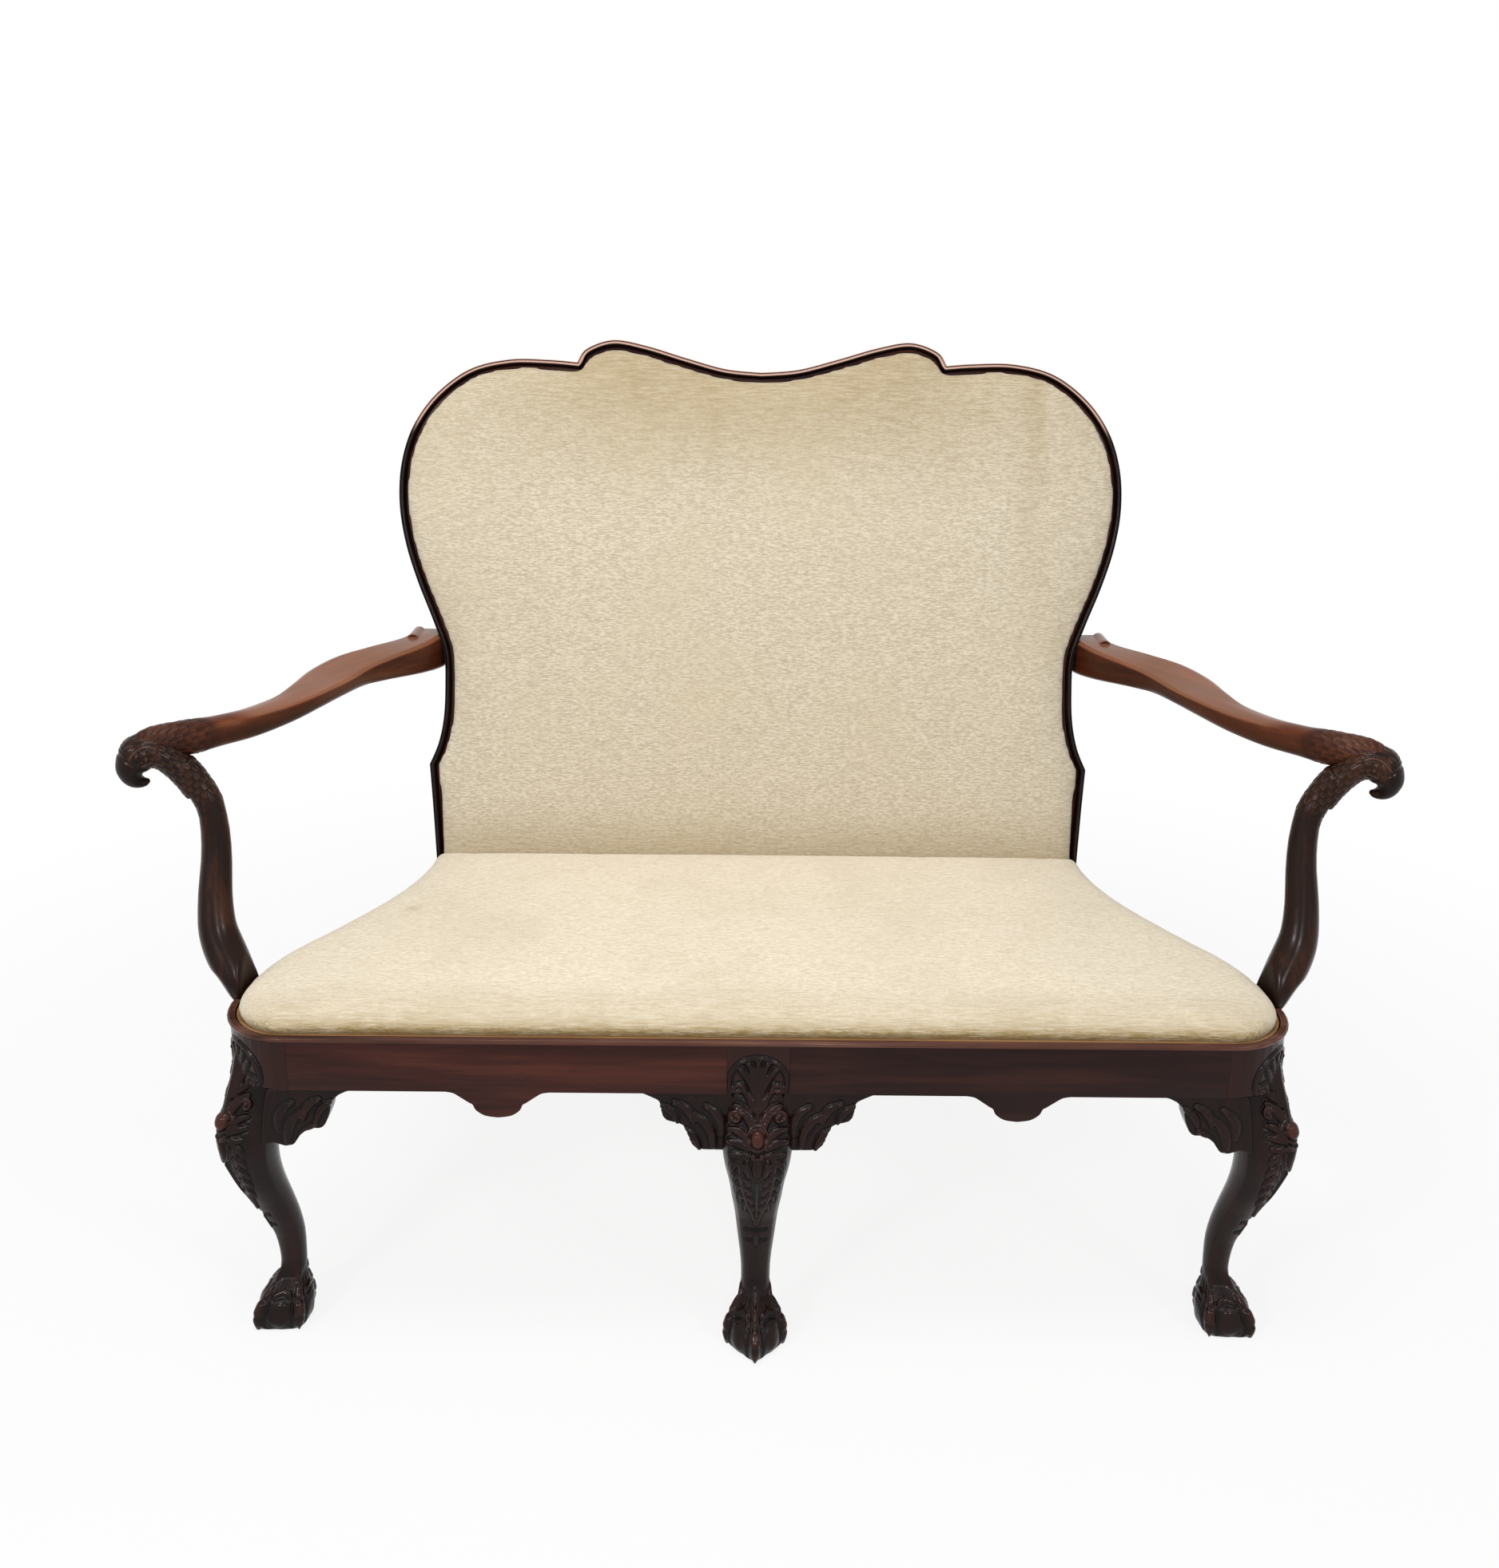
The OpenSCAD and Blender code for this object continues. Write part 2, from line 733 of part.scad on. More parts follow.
post_in = back_foot[0] - stile_w;
crest_joint_share = 0.79;
crest_at = back_h * crest_joint_share / cos(rake);
crest_top = back_point(back_hump_shares[len(back_hump_shares) - 1])[1];
back_low = back_foot[1];
opening_shares = [[0.80, 0.46], [0.84, 0.70], [0.855, 0.81], [0.83, 0.90], [0.74, 0.97],
    [0.58, 1.01], [0.40, 1.03], [0.20, 1.015], [0, 1]];
opening_low = back_low + lower_rail_h;
post_top = seat_line + lower_rail_h / 6;
cloth_low = (post_top - seat_line) / cos(rake) + back_t * tan(rake) + clear;
opening_w = back_w / 2 * opening_shares[0][0];
opening_top = crest_top - crest_d;
opening_half = concat(
    [[opening_w, opening_low]],
    [for (p = opening_shares) [back_w / 2 * p[0], opening_top * p[1]]]
);

module back_frame_face() {
    difference() {
        polygon(back_outline);
        polygon(concat(opening_half, tail(flip(mirrored(opening_half)))));
    }
}

module back_part(low, high) {
    back_slab(0, back_t)
        intersection() {
            back_frame_face();
            translate(low)
                square(high - low);
        }
}

module crest_rail() {
    color(wood_dark)
        placed()
            difference() {
                back_part([-back_w, crest_at], [back_w, back_h * 2]);
                at_crest_dowels();
            }
}

module at_crest_dowels() {
    both_sides()
        on_back(back_t / 2)
            translate([(opening_half[3][0] + back_w / 2) / 2, crest_at - dowel_len / 2, 0])
                rotate([-90, 0, 0])
                    cylinder(h = dowel_len, d = dowel_dia, $fn = 24);
}

module crest_dowels() {
    color(wood_plain)
        placed()
            at_crest_dowels();
}

module below_rails() {
    box([-half_w, 0, 0], [half_w, heel_rear, rail_top]);
}

module lower_back_rail() {
    color(wood_plain)
        placed()
            difference() {
                back_part([-opening_w, back_low], [opening_w, opening_low]);
                below_rails();
            }
}

module back_muntin() {
    color(wood_plain)
        placed()
            back_slab(0, back_t)
                difference() {
                    translate([-muntin_w / 2, opening_low])
                        square([muntin_w, crest_top - opening_low - crest_d / 2]);
                    back_frame_face();
                }
}

// Rear legs: a curved side view, drawn from the seat line to the floor
leg_curve_shares = [[0, 1], [0.02, 0.8], [0.1, 0.6], [0.27, 0.4], [0.55, 0.2], [1, 0]];
function rear_leg_line(start, kick) =
    [for (p = spline(leg_curve_shares, 2)) [start + p[0] * kick, p[1] * rail_low]];

module rear_leg_solid(low, high, top_points) {
    translate([low, 0, 0])
        rotate([90, 0, 90])
            linear_extrude(high - low)
                polygon(concat(
                    rear_leg_line(seat_d, rear_kick),
                    flip(rear_leg_line(seat_d + rear_leg_d, rear_kick + rear_foot_d - rear_leg_d)),
                    top_points
                ));
}

module rear_post(side) {
    lean = (post_top - seat_line) * tan(rake);
    color(wood_dark)
        placed()
            on_side(side)
                difference() {
                    union() {
                        difference() {
                            back_part([opening_w, back_low], [back_w, crest_at]);
                            below_rails();
                        }
                        rear_leg_solid(post_in, post_in + stile_w - clear, [
                            [seat_d + rear_leg_d, rail_top],
                            [rear_face + lean, post_top],
                            [seat_d + back_t / 2, post_top],
                            [seat_d, rail_top + over],
                            [seat_d, rail_low + rail_h / 2]
                        ]);
                    }
                    at_crest_dowels();
                    at_arm_dowels();
                }
}

module rear_leg_centre() {
    color(wood_dark)
        placed()
            rear_leg_solid(-muntin_w / 2, muntin_w / 2, []);
}

// Show-wood bead round the upholstery of the back
bead_shares = [[0, 0], [0, 0.55], [0.15, 0.85], [0.45, 1], [0.75, 0.85], [1, 0.4], [1, 0]];

module bead_run(points) {
    rows = [for (p = bead_shares) [for (q = inset(points, p[0] * bead_w)) [q[0], q[1], p[1] * bead_h]]];
    on_back()
        loft([for (i = [len(points) - 1:-1:0]) [for (row = rows) row[i]]]);
}

module bead_part(low, high) {
    intersection() {
        bead_run(back_outline);
        on_back()
            box(concat(low, -over), concat(high, bead_h + over));
    }
}

module crest_bead() {
    color(wood_arm)
        placed()
            bead_part([-back_w, crest_at], [back_w, back_h * 2]);
}

module stile_bead(side) {
    color(wood_arm)
        placed()
            on_side(side)
                difference() {
                    bead_part([0, back_low - back_h], [back_w, crest_at]);
                    below_rails();
                }
}

// Arms: across, forward, drop, half width, half height and squareness, each a share
arm_shares = [
    [-0.018, -0.019, 0, 0.90, 1.00, 0.9],
    [0.000, 0.048, 0, 0.90, 1.00, 0.8],
    [0.072, 0.135, 0, 0.90, 0.92, 0.6],
    [0.215, 0.241, -0.06, 0.93, 0.81, 0.5],
    [0.344, 0.333, 0, 1.00, 0.70, 0.45],
    [0.430, 0.459, 0.15, 1.00, 0.61, 0.4],
    [0.483, 0.579, 0.28, 0.84, 0.59, 0.3],
    [0.555, 0.695, 0.52, 0.72, 0.61, 0.2],
    [0.671, 0.811, 0.70, 0.66, 0.64, 0.1],
    [0.796, 0.893, 0.72, 0.63, 0.64, 0.1],
    [0.895, 0.951, 0.72, 0.60, 0.62, 0.1],
    [1.000, 1.000, 0.76, 0.54, 0.58, 0.1]
];
arm_sides = 16;
waist_x = back_w / 2 * back_shoulder_shares[3][0];
arm_z = rail_top + arm_rise;
arm_lean = (arm_z - seat_line) * tan(rake);
arm_rear = [waist_x + arm_root_out, seat_d + arm_lean + arm_root_back];
arm_front = [half_w + arm_tip_out, support_y + arm_tip_back];

module arm_solid() {
    rows = spline(arm_shares, 2);
    middle = [
        for (row = rows)
            [
                lerp(arm_rear[0], arm_front[0], row[0]),
                lerp(arm_rear[1], arm_front[1], row[1]),
                arm_z - row[2] * arm_drop
            ]
    ];
    loft([
        for (i = [0:len(rows) - 1])
            let (
                a = middle[max(i - 1, 0)],
                b = middle[min(i + 1, len(rows) - 1)],
                across = side_normal([a[0], a[1]], [b[0], b[1]])
            )
            [
                for (j = [0:arm_sides - 1])
                    let (p = square_point(360 * (j + 0.5) / arm_sides, rows[i][5]))
                    [
                        middle[i][0] + across[0] * p[0] * arm_w / 2 * rows[i][3],
                        middle[i][1] + across[1] * p[0] * arm_w / 2 * rows[i][3],
                        middle[i][2] + p[1] * arm_h / 2 * rows[i][4]
                    ]
            ]
    ]);
}

module arm(side) {
    color(wood_arm)
        placed()
            on_side(side)
                difference() {
                    arm_solid();
                    back_slab(-bead_h - clear, back_t + back_w)
                        polygon(back_outline);
                    neck_solid();
                    at_arm_dowels();
                }
}

module at_arm_dowels() {
    for (up = [-1, 1])
        translate([waist_x - dowel_len / 2, seat_d + arm_lean + back_t / 2, arm_z + up * arm_h / 5])
            rotate([0, 90, 0])
                cylinder(h = dowel_len, d = dowel_dia, $fn = 24);
}

module arm_dowels() {
    color(wood_plain)
        placed()
            both_sides()
                at_arm_dowels();
}

// Arm supports: outward reach, rise, backward lean, thickness in the plane of the curl and across it, as shares
support_shares = [
    [0.08, 0, 0.02, 1.22, 2.10],
    [0.14, 0.065, 0.06, 1.38, 2.20],
    [0.22, 0.133, 0.15, 1.50, 2.05],
    [0.285, 0.208, 0.26, 1.48, 1.75],
    [0.315, 0.283, 0.36, 1.36, 1.45],
    [0.295, 0.406, 0.49, 1.22, 1.15],
    [0.245, 0.536, 0.63, 1.10, 1.02],
    [0.225, 0.655, 0.76, 1.03, 0.98],
    [0.255, 0.768, 0.87, 0.97, 0.98],
    [0.36, 0.850, 0.95, 0.98, 1.04],
    [0.50, 0.925, 0.985, 1.02, 1.12],
    [0.71, 0.980, 1, 1.12, 1.20]
];

support_x = lines_x(plan_half, support_y);

module in_curl_plane() {
    translate([support_x - foot_t / 3, support_y, rail_top + lip_h / 2])
        rotate([0, 0, -support_turn])
            children();
}

module neck_solid() {
    rows = spline(support_shares, 2);
    middle = [for (row = rows) [row[0] * support_reach, row[1] * support_rise]];
    back = [for (row = rows) row[2] * support_lean];
    in_curl_plane() {
        loft([
            for (i = [0:len(rows) - 1])
                let (
                    a = middle[max(i - 1, 0)],
                    b = middle[min(i + 1, len(rows) - 1)],
                    across = i < 4 ? [-1, 0] : side_normal(a, b)
                )
                [
                    for (j = [0:arm_sides - 1])
                        let (p = square_point(360 * j / arm_sides, 0.15))
                        [
                            middle[i][0] - across[0] * p[0] * neck_w / 2 * rows[i][3],
                            back[i] + p[1] * neck_w / 2 * rows[i][4],
                            middle[i][1] - across[1] * p[0] * neck_w / 2 * rows[i][3]
                        ]
                ]
        ]);
        head_solid();
    }
}

// Middle of the crown, root of the beak and its tip, in shares of reach and rise
head_shares = [[0.89, 0.99], [1.045, 0.91], [0.83, 0.875]];

module head_solid() {
    crown = [head_shares[0][0] * support_reach, support_lean, head_shares[0][1] * support_rise];
    root = [head_shares[1][0] * support_reach, support_lean, head_shares[1][1] * support_rise];
    tip = [head_shares[2][0] * support_reach, support_lean, head_shares[2][1] * support_rise];
    hull() {
        translate(crown)
            sphere(d = head_dia, $fn = 18);
        translate(root)
            sphere(d = beak_dia, $fn = 18);
    }
    hull() {
        translate(root)
            sphere(d = beak_dia * 5 / 6, $fn = 18);
        translate(tip)
            sphere(d = beak_dia / 6, $fn = 18);
    }
}

// The foot of the support: it takes the place of the lip and is let into the face of the side rail
module support_foot_space() {
    intersection() {
        plan_band(0, foot_t, support_foot, rail_top + lip_h / 3);
        box([0, foot_front, 0], [seat_w, foot_rear, rail_top + lip_h]);
    }
}

module arm_support(side) {
    color(wood_arm)
        placed()
            on_side(side)
                difference() {
                    union() {
                        neck_solid();
                        support_foot_space();
                        intersection() {
                            plan_band(-lip_out, lip_in, rail_top, rail_top + lip_h);
                            box([0, foot_front, rail_top], [seat_w, foot_rear, rail_top + lip_h + over]);
                        }
                    }
                    plan_solid(lip_in, seat_d, rebate_z, rail_top + support_rise / 2);
                    lip_space();
                    at_support_screws(screw_dia, screw_head);
                }
}

// Room that the neck leaves for the lip before and behind the foot
module lip_space() {
    difference() {
        plan_solid(-lip_out, seat_d, rail_top - over, rail_top + lip_h);
        box([0, foot_front, 0], [seat_w, foot_rear, rail_top + lip_h + over]);
    }
}

module at_support_screws(shank, head) {
    for (up = [1, 2])
        translate([support_x - rail_t, support_y, support_foot + up * (rebate_z - support_foot) / 3])
            rotate([0, 0, 90])
                screw_shape(shank, head, rail_t * 3 / 4);
}

module support_screws() {
    color(steel_grey)
        placed()
            both_sides()
                at_support_screws(screw_dia, screw_head);
}

module block_screws() {
    color(steel_grey)
        placed()
            both_sides()
                at_front_block_screws(screw_dia, screw_head);
}

// Back upholstery
web_rows = 6;

module back_webbing() {
    high = opening_top - opening_low;
    low = back_low + lower_rail_h / 3;
    color(cloth_jute)
        placed()
            back_slab(-web_t, 0)
                union() {
                    for (k = [0:web_count - 1])
                        translate([lerp(-opening_w, opening_w, (k + 0.5) / web_count) - web_w / 2, low])
                            square([web_w, opening_top + crest_d / 3 - low]);
                    for (k = [0:web_rows - 1])
                        translate([-opening_w - stile_w / 3, opening_low + high * (k + 0.5) / web_rows - web_w / 2])
                            square([2 * opening_w + 2 * stile_w / 3, web_w]);
                }
}

module back_hessian() {
    color(cloth_jute)
        placed()
            back_slab(-web_t - cloth_t, -web_t)
                polygon(inset(back_outline, bead_w + clear, true));
}

module back_cloth() {
    color(cloth_pale)
        placed()
            back_slab(back_t, back_t + cloth_t)
                intersection() {
                    polygon(inset(back_outline, bead_w, true));
                    translate([-back_w, cloth_low])
                        square([back_w * 2, back_h * 2]);
                }
}

// A cushion over a closed outline: a rounded rim, then a crown that rises to the middle.
// It grows thicker towards the far side of its depth, where it is rear_swell times as thick, less so at the ends
rim_shares = [[0.16, 0], [0, 0.24], [0, 0.48], [0.12, 0.74], [0.36, 0.92], [0.7, 1]];
crown_shares = [[0.93, 0.24], [0.82, 0.5], [0.66, 0.74], [0.46, 0.91], [0.24, 0.98], [0.04, 1]];
pad_end_fall = 0.3;

module cushion(outline, middle, edge_h, crown_h, rear_swell = 1, wide = 1) {
    deep = 2 * middle[1];
    function swell(q) = 1 + (rear_swell - 1) * q[1] / deep * (1 - pad_end_fall * pow(q[0] / wide, 2));
    rim = [
        for (p = rim_shares)
            [for (q = inset(outline, p[0] * edge_h, true)) [q[0], q[1], p[1] * edge_h * swell(q)]]
    ];
    inner = inset(outline, rim_shares[len(rim_shares) - 1][0] * edge_h, true);
    crown = [
        for (p = crown_shares)
            [
                for (q = inner)
                    let (x = lerp(middle[0], q[0], p[0]), y = lerp(middle[1], q[1], p[0]))
                    [x, y, lerp(edge_h, crown_h, p[1]) * swell([x, y])]
            ]
    ];
    loft(concat(rim, crown));
}

back_edge_share = 0.42;
back_middle_share = 0.5;

module back_pad() {
    outline = inset(back_outline, bead_w + clear, true);
    bottom = [for (k = [1:6]) lerp(outline[len(outline) - 1], outline[0], k / 7)];
    color(cloth_pale)
        placed()
            on_back(-web_t - cloth_t)
                cushion(
                    concat(outline, bottom),
                    [0, back_h * back_middle_share],
                    back_pad_h * back_edge_share,
                    back_pad_h
                );
}

// Drop-in seat
slip_lap_share = 0.3;

module slip_frame() {
    difference() {
        plan_solid(slip_edge, slip_rear, rebate_z, slip_top);
        plan_solid(slip_edge + slip_w, slip_rear - slip_w, rebate_z - over, slip_top + over);
    }
}

module slip_part(low, high) {
    color(wood_plain)
        placed()
            intersection() {
                slip_frame();
                box(concat(low, rebate_z - over), concat(high, slip_top + over));
            }
}

module slip_rail_front() {
    slip_part([-half_w, 0], [half_w, slip_edge + slip_w * (1 + slip_lap_share)]);
}

module slip_rail_rear() {
    slip_part([-half_w, slip_rear - slip_w * (1 + slip_lap_share)], [half_w, seat_d]);
}

module slip_rail_side(side) {
    lap = slip_w * (1 + slip_lap_share);
    on_side(side)
        slip_part([rear_w / 4, slip_edge + lap], [half_w, slip_rear - lap]);
}

module slip_bar() {
    color(wood_plain)
        placed()
            box(
                [-slip_w / 2, slip_edge + slip_w, rebate_z],
                [slip_w / 2, slip_rear - slip_w, slip_top]
            );
}

seat_web_rows = 4;

module seat_webbing() {
    front = slip_edge + slip_w / 2;
    rear = slip_rear - slip_w / 2;
    reach = rear_w / 2 - slip_w / 2;
    color(cloth_jute)
        placed()
            translate([0, 0, slip_top])
                linear_extrude(web_t)
                    union() {
                        for (k = [0:web_count - 1])
                            translate([lerp(-reach, reach, (k + 0.5) / web_count) - web_w / 2, front])
                                square([web_w, rear - front]);
                        for (k = [0:seat_web_rows - 1])
                            translate([-reach, lerp(front, rear, (k + 0.5) / seat_web_rows) - web_w / 2])
                                square([2 * reach, web_w]);
                    }
}

module seat_hessian() {
    color(cloth_jute)
        placed()
            plan_solid(slip_edge + clear, slip_rear - clear, slip_top + web_t, pad_base);
}

module seat_pad() {
    line = cut_line(plan_line(slip_edge - slip_gap / 2), slip_rear + slip_gap / 2);
    side_points = tail(line);
    front_points = [for (p = front_shares) [line[1][0] * p, line[1][1]]];
    half = concat(front_points, side_points);
    rear_points = [
        for (k = [1:7])
            lerp(line[len(line) - 1], [-line[len(line) - 1][0], line[len(line) - 1][1]], k / 8)
    ];
    outline = concat(half, rear_points, flip(mirrored(tail(half))));
    color(cloth_pale)
        placed()
            translate([0, 0, pad_base])
                cushion(outline, [0, slip_rear / 2], pad_edge_h, pad_h, pad_rear_h / pad_edge_h, half_w);
}

module dust_cloth() {
    color(cloth_jute)
        placed()
            plan_solid(rail_t + slip_gap, rear_rail_y - slip_gap, rebate_z - cloth_t, rebate_z);
}

module seat_tacks() {
    low = rebate_z - cloth_t - tack_t;
    front = slip_edge + slip_w * 2 / 3;
    rear = rear_rail_y - slip_gap - tack_dia;
    across = floor((rear_w / 2 - slip_w) / tack_gap);
    along = floor((rear - front) / tack_gap / 2);
    middle = (front + rear) / 2;
    color(steel_grey)
        placed() {
            for (k = [-across:across], y = [front, rear])
                translate([k * tack_gap, y, low])
                    cylinder(h = tack_t, d = tack_dia, $fn = 24);
        }
}

front_rail("left");  // front_rail_left
front_rail("right");  // front_rail_right
side_rail("left");  // side_rail_left
side_rail("right");  // side_rail_right
rear_rail();
medial_rail();
lip_front();
lip_corner("left");  // lip_corner_left
lip_corner("right");  // lip_corner_right
lip_side("left");  // lip_side_left
lip_side("right");  // lip_side_right
front_leg("left");  // front_leg_left
front_leg("right");  // front_leg_right
front_leg_centre();
ear_centre("left");  // ear_centre_left
ear_centre("right");  // ear_centre_right
ear_front("left");  // ear_front_left
ear_front("right");  // ear_front_right
ear_side("left");  // ear_side_left
ear_side("right");  // ear_side_right
front_corner_blocks();
rear_corner_blocks();
rear_post("left");  // rear_post_left
rear_post("right");  // rear_post_right
rear_leg_centre();
crest_rail();
lower_back_rail();
back_muntin();
crest_bead();
stile_bead("left");  // stile_bead_left
stile_bead("right");  // stile_bead_right
arm("left");  // arm_left
arm("right");  // arm_right
arm_support("left");  // arm_support_left
arm_support("right");  // arm_support_right
arm_dowels();
crest_dowels();
support_screws();
block_screws();
back_webbing();
back_hessian();
back_pad();
back_cloth();
slip_rail_front();
slip_rail_rear();
slip_rail_side("left");  // slip_rail_left
slip_rail_side("right");  // slip_rail_right
slip_bar();
seat_webbing();
seat_hessian();
seat_pad();
dust_cloth();
seat_tacks();
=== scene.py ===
# Looks for the two-seat cabriole settee. Metres; the front of the seat faces -Y and the floor is z = 0.
import json
import bmesh
import bpy
import numpy as np
from math import atan2, cos, pi, radians, sin
from mathutils import Matrix, Vector
from numpy.linalg import norm


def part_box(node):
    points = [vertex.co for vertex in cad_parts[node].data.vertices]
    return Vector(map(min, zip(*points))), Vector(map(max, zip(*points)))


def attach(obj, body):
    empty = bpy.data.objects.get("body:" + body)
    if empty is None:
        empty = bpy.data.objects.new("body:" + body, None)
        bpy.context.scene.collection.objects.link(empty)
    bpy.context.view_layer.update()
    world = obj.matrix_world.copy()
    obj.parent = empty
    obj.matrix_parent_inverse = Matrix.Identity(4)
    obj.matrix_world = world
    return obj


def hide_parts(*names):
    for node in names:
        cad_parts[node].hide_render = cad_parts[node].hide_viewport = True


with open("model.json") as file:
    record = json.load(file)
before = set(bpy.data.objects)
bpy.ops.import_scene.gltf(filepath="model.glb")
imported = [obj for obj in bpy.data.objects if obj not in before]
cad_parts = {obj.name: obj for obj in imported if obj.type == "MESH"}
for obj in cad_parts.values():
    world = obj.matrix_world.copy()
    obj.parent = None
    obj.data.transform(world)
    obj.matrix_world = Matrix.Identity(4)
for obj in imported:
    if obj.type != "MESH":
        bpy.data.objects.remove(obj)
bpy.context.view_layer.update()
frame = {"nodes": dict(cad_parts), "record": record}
nodes = frame["nodes"]
print("frame loaded:", len(nodes), "nodes")

# Where the main planes of the settee lie
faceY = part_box("front_rail_left")[0].y            # outer face of the front rail
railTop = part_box("front_rail_left")[1].z
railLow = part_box("rear_rail")[0].z
mm = 0.001
scene = bpy.context.scene
weld = 0.00002                                    # vertices closer than this become one

# Camera
photoCamera = {"at": (-0.0192, -1.96598, 1.26994), "pitch": 18.586, "yaw": 0.2, "roll": 0.6, "lens": 36.68}
pitch, yaw, roll = (radians(photoCamera[k]) for k in ("pitch", "yaw", "roll"))
turn = Matrix.Rotation(-yaw, 4, "Z") @ Matrix.Rotation(pi / 2 - pitch, 4, "X") @ Matrix.Rotation(roll, 4, "Z")
camera = bpy.data.objects.new("photoView", bpy.data.cameras.new("photoView"))
camera.data.lens = photoCamera["lens"]
camera.data.clip_end = 60
camera.matrix_world = Matrix.Translation(photoCamera["at"]) @ turn
scene.collection.objects.link(camera)
scene.camera = camera


# Small helpers
def pick(*pieces):
    bpy.ops.object.select_all(action="DESELECT")
    for piece in pieces:
        piece.select_set(True)
    bpy.context.view_layer.objects.active = pieces[0]


def modify(piece, kind, **settings):
    pick(piece)
    modifier = piece.modifiers.new(kind.lower(), kind)
    for key, value in settings.items():
        setattr(modifier, key, value)
    bpy.ops.object.modifier_apply(modifier=modifier.name)


def inEdit(piece, work, only=None):
    # runs work in edit mode with all selected, or the vertices for which only(co) is true
    pick(piece)
    bpy.ops.object.mode_set(mode="EDIT")
    bpy.ops.mesh.select_mode(type="VERT")
    bpy.ops.mesh.select_all(action="SELECT" if only is None else "DESELECT")
    if only is not None:
        mesh = bmesh.from_edit_mesh(piece.data)
        for vert in mesh.verts:
            vert.select = bool(only(vert.co))
        mesh.select_flush_mode()
        bmesh.update_edit_mesh(piece.data)
    work()
    bpy.ops.object.mode_set(mode="OBJECT")


def copyNode(node, name):
    pick(nodes[node])
    bpy.ops.object.duplicate()
    piece = bpy.context.object
    piece.name = name
    piece.parent = None
    for key in list(piece.keys()):
        del piece[key]
    piece.data.materials.clear()
    inEdit(piece, lambda: bpy.ops.mesh.remove_doubles(threshold=weld))
    return piece


def joinInto(piece, other):
    pick(piece, other)
    bpy.ops.object.join()


def remesh(piece, size):
    pick(piece)
    piece.data.remesh_voxel_size = size
    bpy.ops.object.voxel_remesh()


def sweep(name, rings):
    # a filled circle, extruded ring by ring, each ring then set to its points
    bpy.ops.object.select_all(action="DESELECT")
    bpy.ops.mesh.primitive_circle_add(vertices=len(rings[0]), fill_type="NGON")
    piece = bpy.context.object
    piece.name = name
    bpy.ops.object.mode_set(mode="EDIT")
    bpy.ops.mesh.select_mode(type="FACE")
    bpy.ops.mesh.select_all(action="SELECT")
    mesh = bmesh.from_edit_mesh(piece.data)
    for vert, point in zip(mesh.verts, rings[0]):
        vert.co = point
    order = {tuple(vert.co): i for i, vert in enumerate(mesh.verts)}
    for ring in rings[1:]:
        bpy.ops.mesh.extrude_region_move()
        mesh = bmesh.from_edit_mesh(piece.data)
        fresh = [vert for vert in mesh.verts if vert.select]
        places = [(vert, order[tuple(vert.co)]) for vert in fresh]
        order = {}
        for vert, i in places:
            vert.co = ring[i]
            order[tuple(vert.co)] = i
    bmesh.update_edit_mesh(piece.data)
    bpy.ops.mesh.select_all(action="SELECT")
    bpy.ops.mesh.normals_make_consistent()
    bpy.ops.object.mode_set(mode="OBJECT")
    return piece


def spline(rows, steps):
    rows = [np.array(row, float) for row in rows]
    out = []
    for i in range(len(rows) - 1):
        p, q, r, s = rows[max(i - 1, 0)], rows[i], rows[i + 1], rows[min(i + 2, len(rows) - 1)]
        for k in range(steps):
            t = k / steps
            out.append((2 * q + (r - p) * t + (2 * p - 5 * q + 4 * r - s) * t ** 2
                        + (3 * q - p - 3 * r + s) * t ** 3) / 2)
    return out + [rows[-1]]


def inset(points, depth, closed=False):
    points = [np.array(p, float) for p in points]
    count, moved = len(points), []
    for i, here in enumerate(points):
        before = points[(i - 1) % count] if closed or i else here
        after = points[(i + 1) % count] if closed or i < count - 1 else here
        sides = []
        for a, b in ((before, here), (here, after)):
            if np.any(a != b):
                run = (b - a) / norm(b - a)
                sides.append(np.array([-run[1], run[0]]))
        bisector = sum(sides) / norm(sum(sides))
        moved.append(here + bisector * depth / max(bisector @ sides[0], 0.5))
    return moved


def points(piece, key="co"):
    flat = np.zeros(len(piece.data.vertices) * 3, np.float32)
    piece.data.vertices.foreach_get(key, flat)
    return flat.reshape(-1, 3).astype(float)


def setPoints(piece, places):
    piece.data.vertices.foreach_set("co", places.astype(np.float32).ravel())
    piece.data.update()


def normals(piece):
    return points(piece, "normal")


def ramp(x, low, high):
    t = np.clip((x - low) / (high - low), 0, 1)
    return t * t * (3 - 2 * t)


def ease(piece, rounds):
    modify(piece, "SMOOTH", factor=0.5, iterations=rounds)


def easeWhere(piece, weight, rounds):
    # smooths the mesh, each vertex by its own weight from 0 to 1
    group = piece.vertex_groups.new(name="ease")
    levels = 20
    steps = np.round(np.clip(weight, 0, 1) * levels).astype(int)
    for step in range(1, levels + 1):
        chosen = np.nonzero(steps == step)[0]
        if len(chosen):
            group.add(chosen.tolist(), step / levels, "REPLACE")
    modify(piece, "SMOOTH", factor=0.5, iterations=rounds, vertex_group="ease")
    piece.vertex_groups.clear()


def markPaintedLightAndWear(piece, height):
    # keeps a carved height in mm on the mesh: a finish paints shade on what lies below 0, and a painted
    # highlight with rubbed wear on what is over 1.2
    layer = piece.data.attributes.get("wear") or piece.data.attributes.new("wear", "FLOAT", "POINT")
    layer.data.foreach_set("value", np.asarray(height, np.float32))


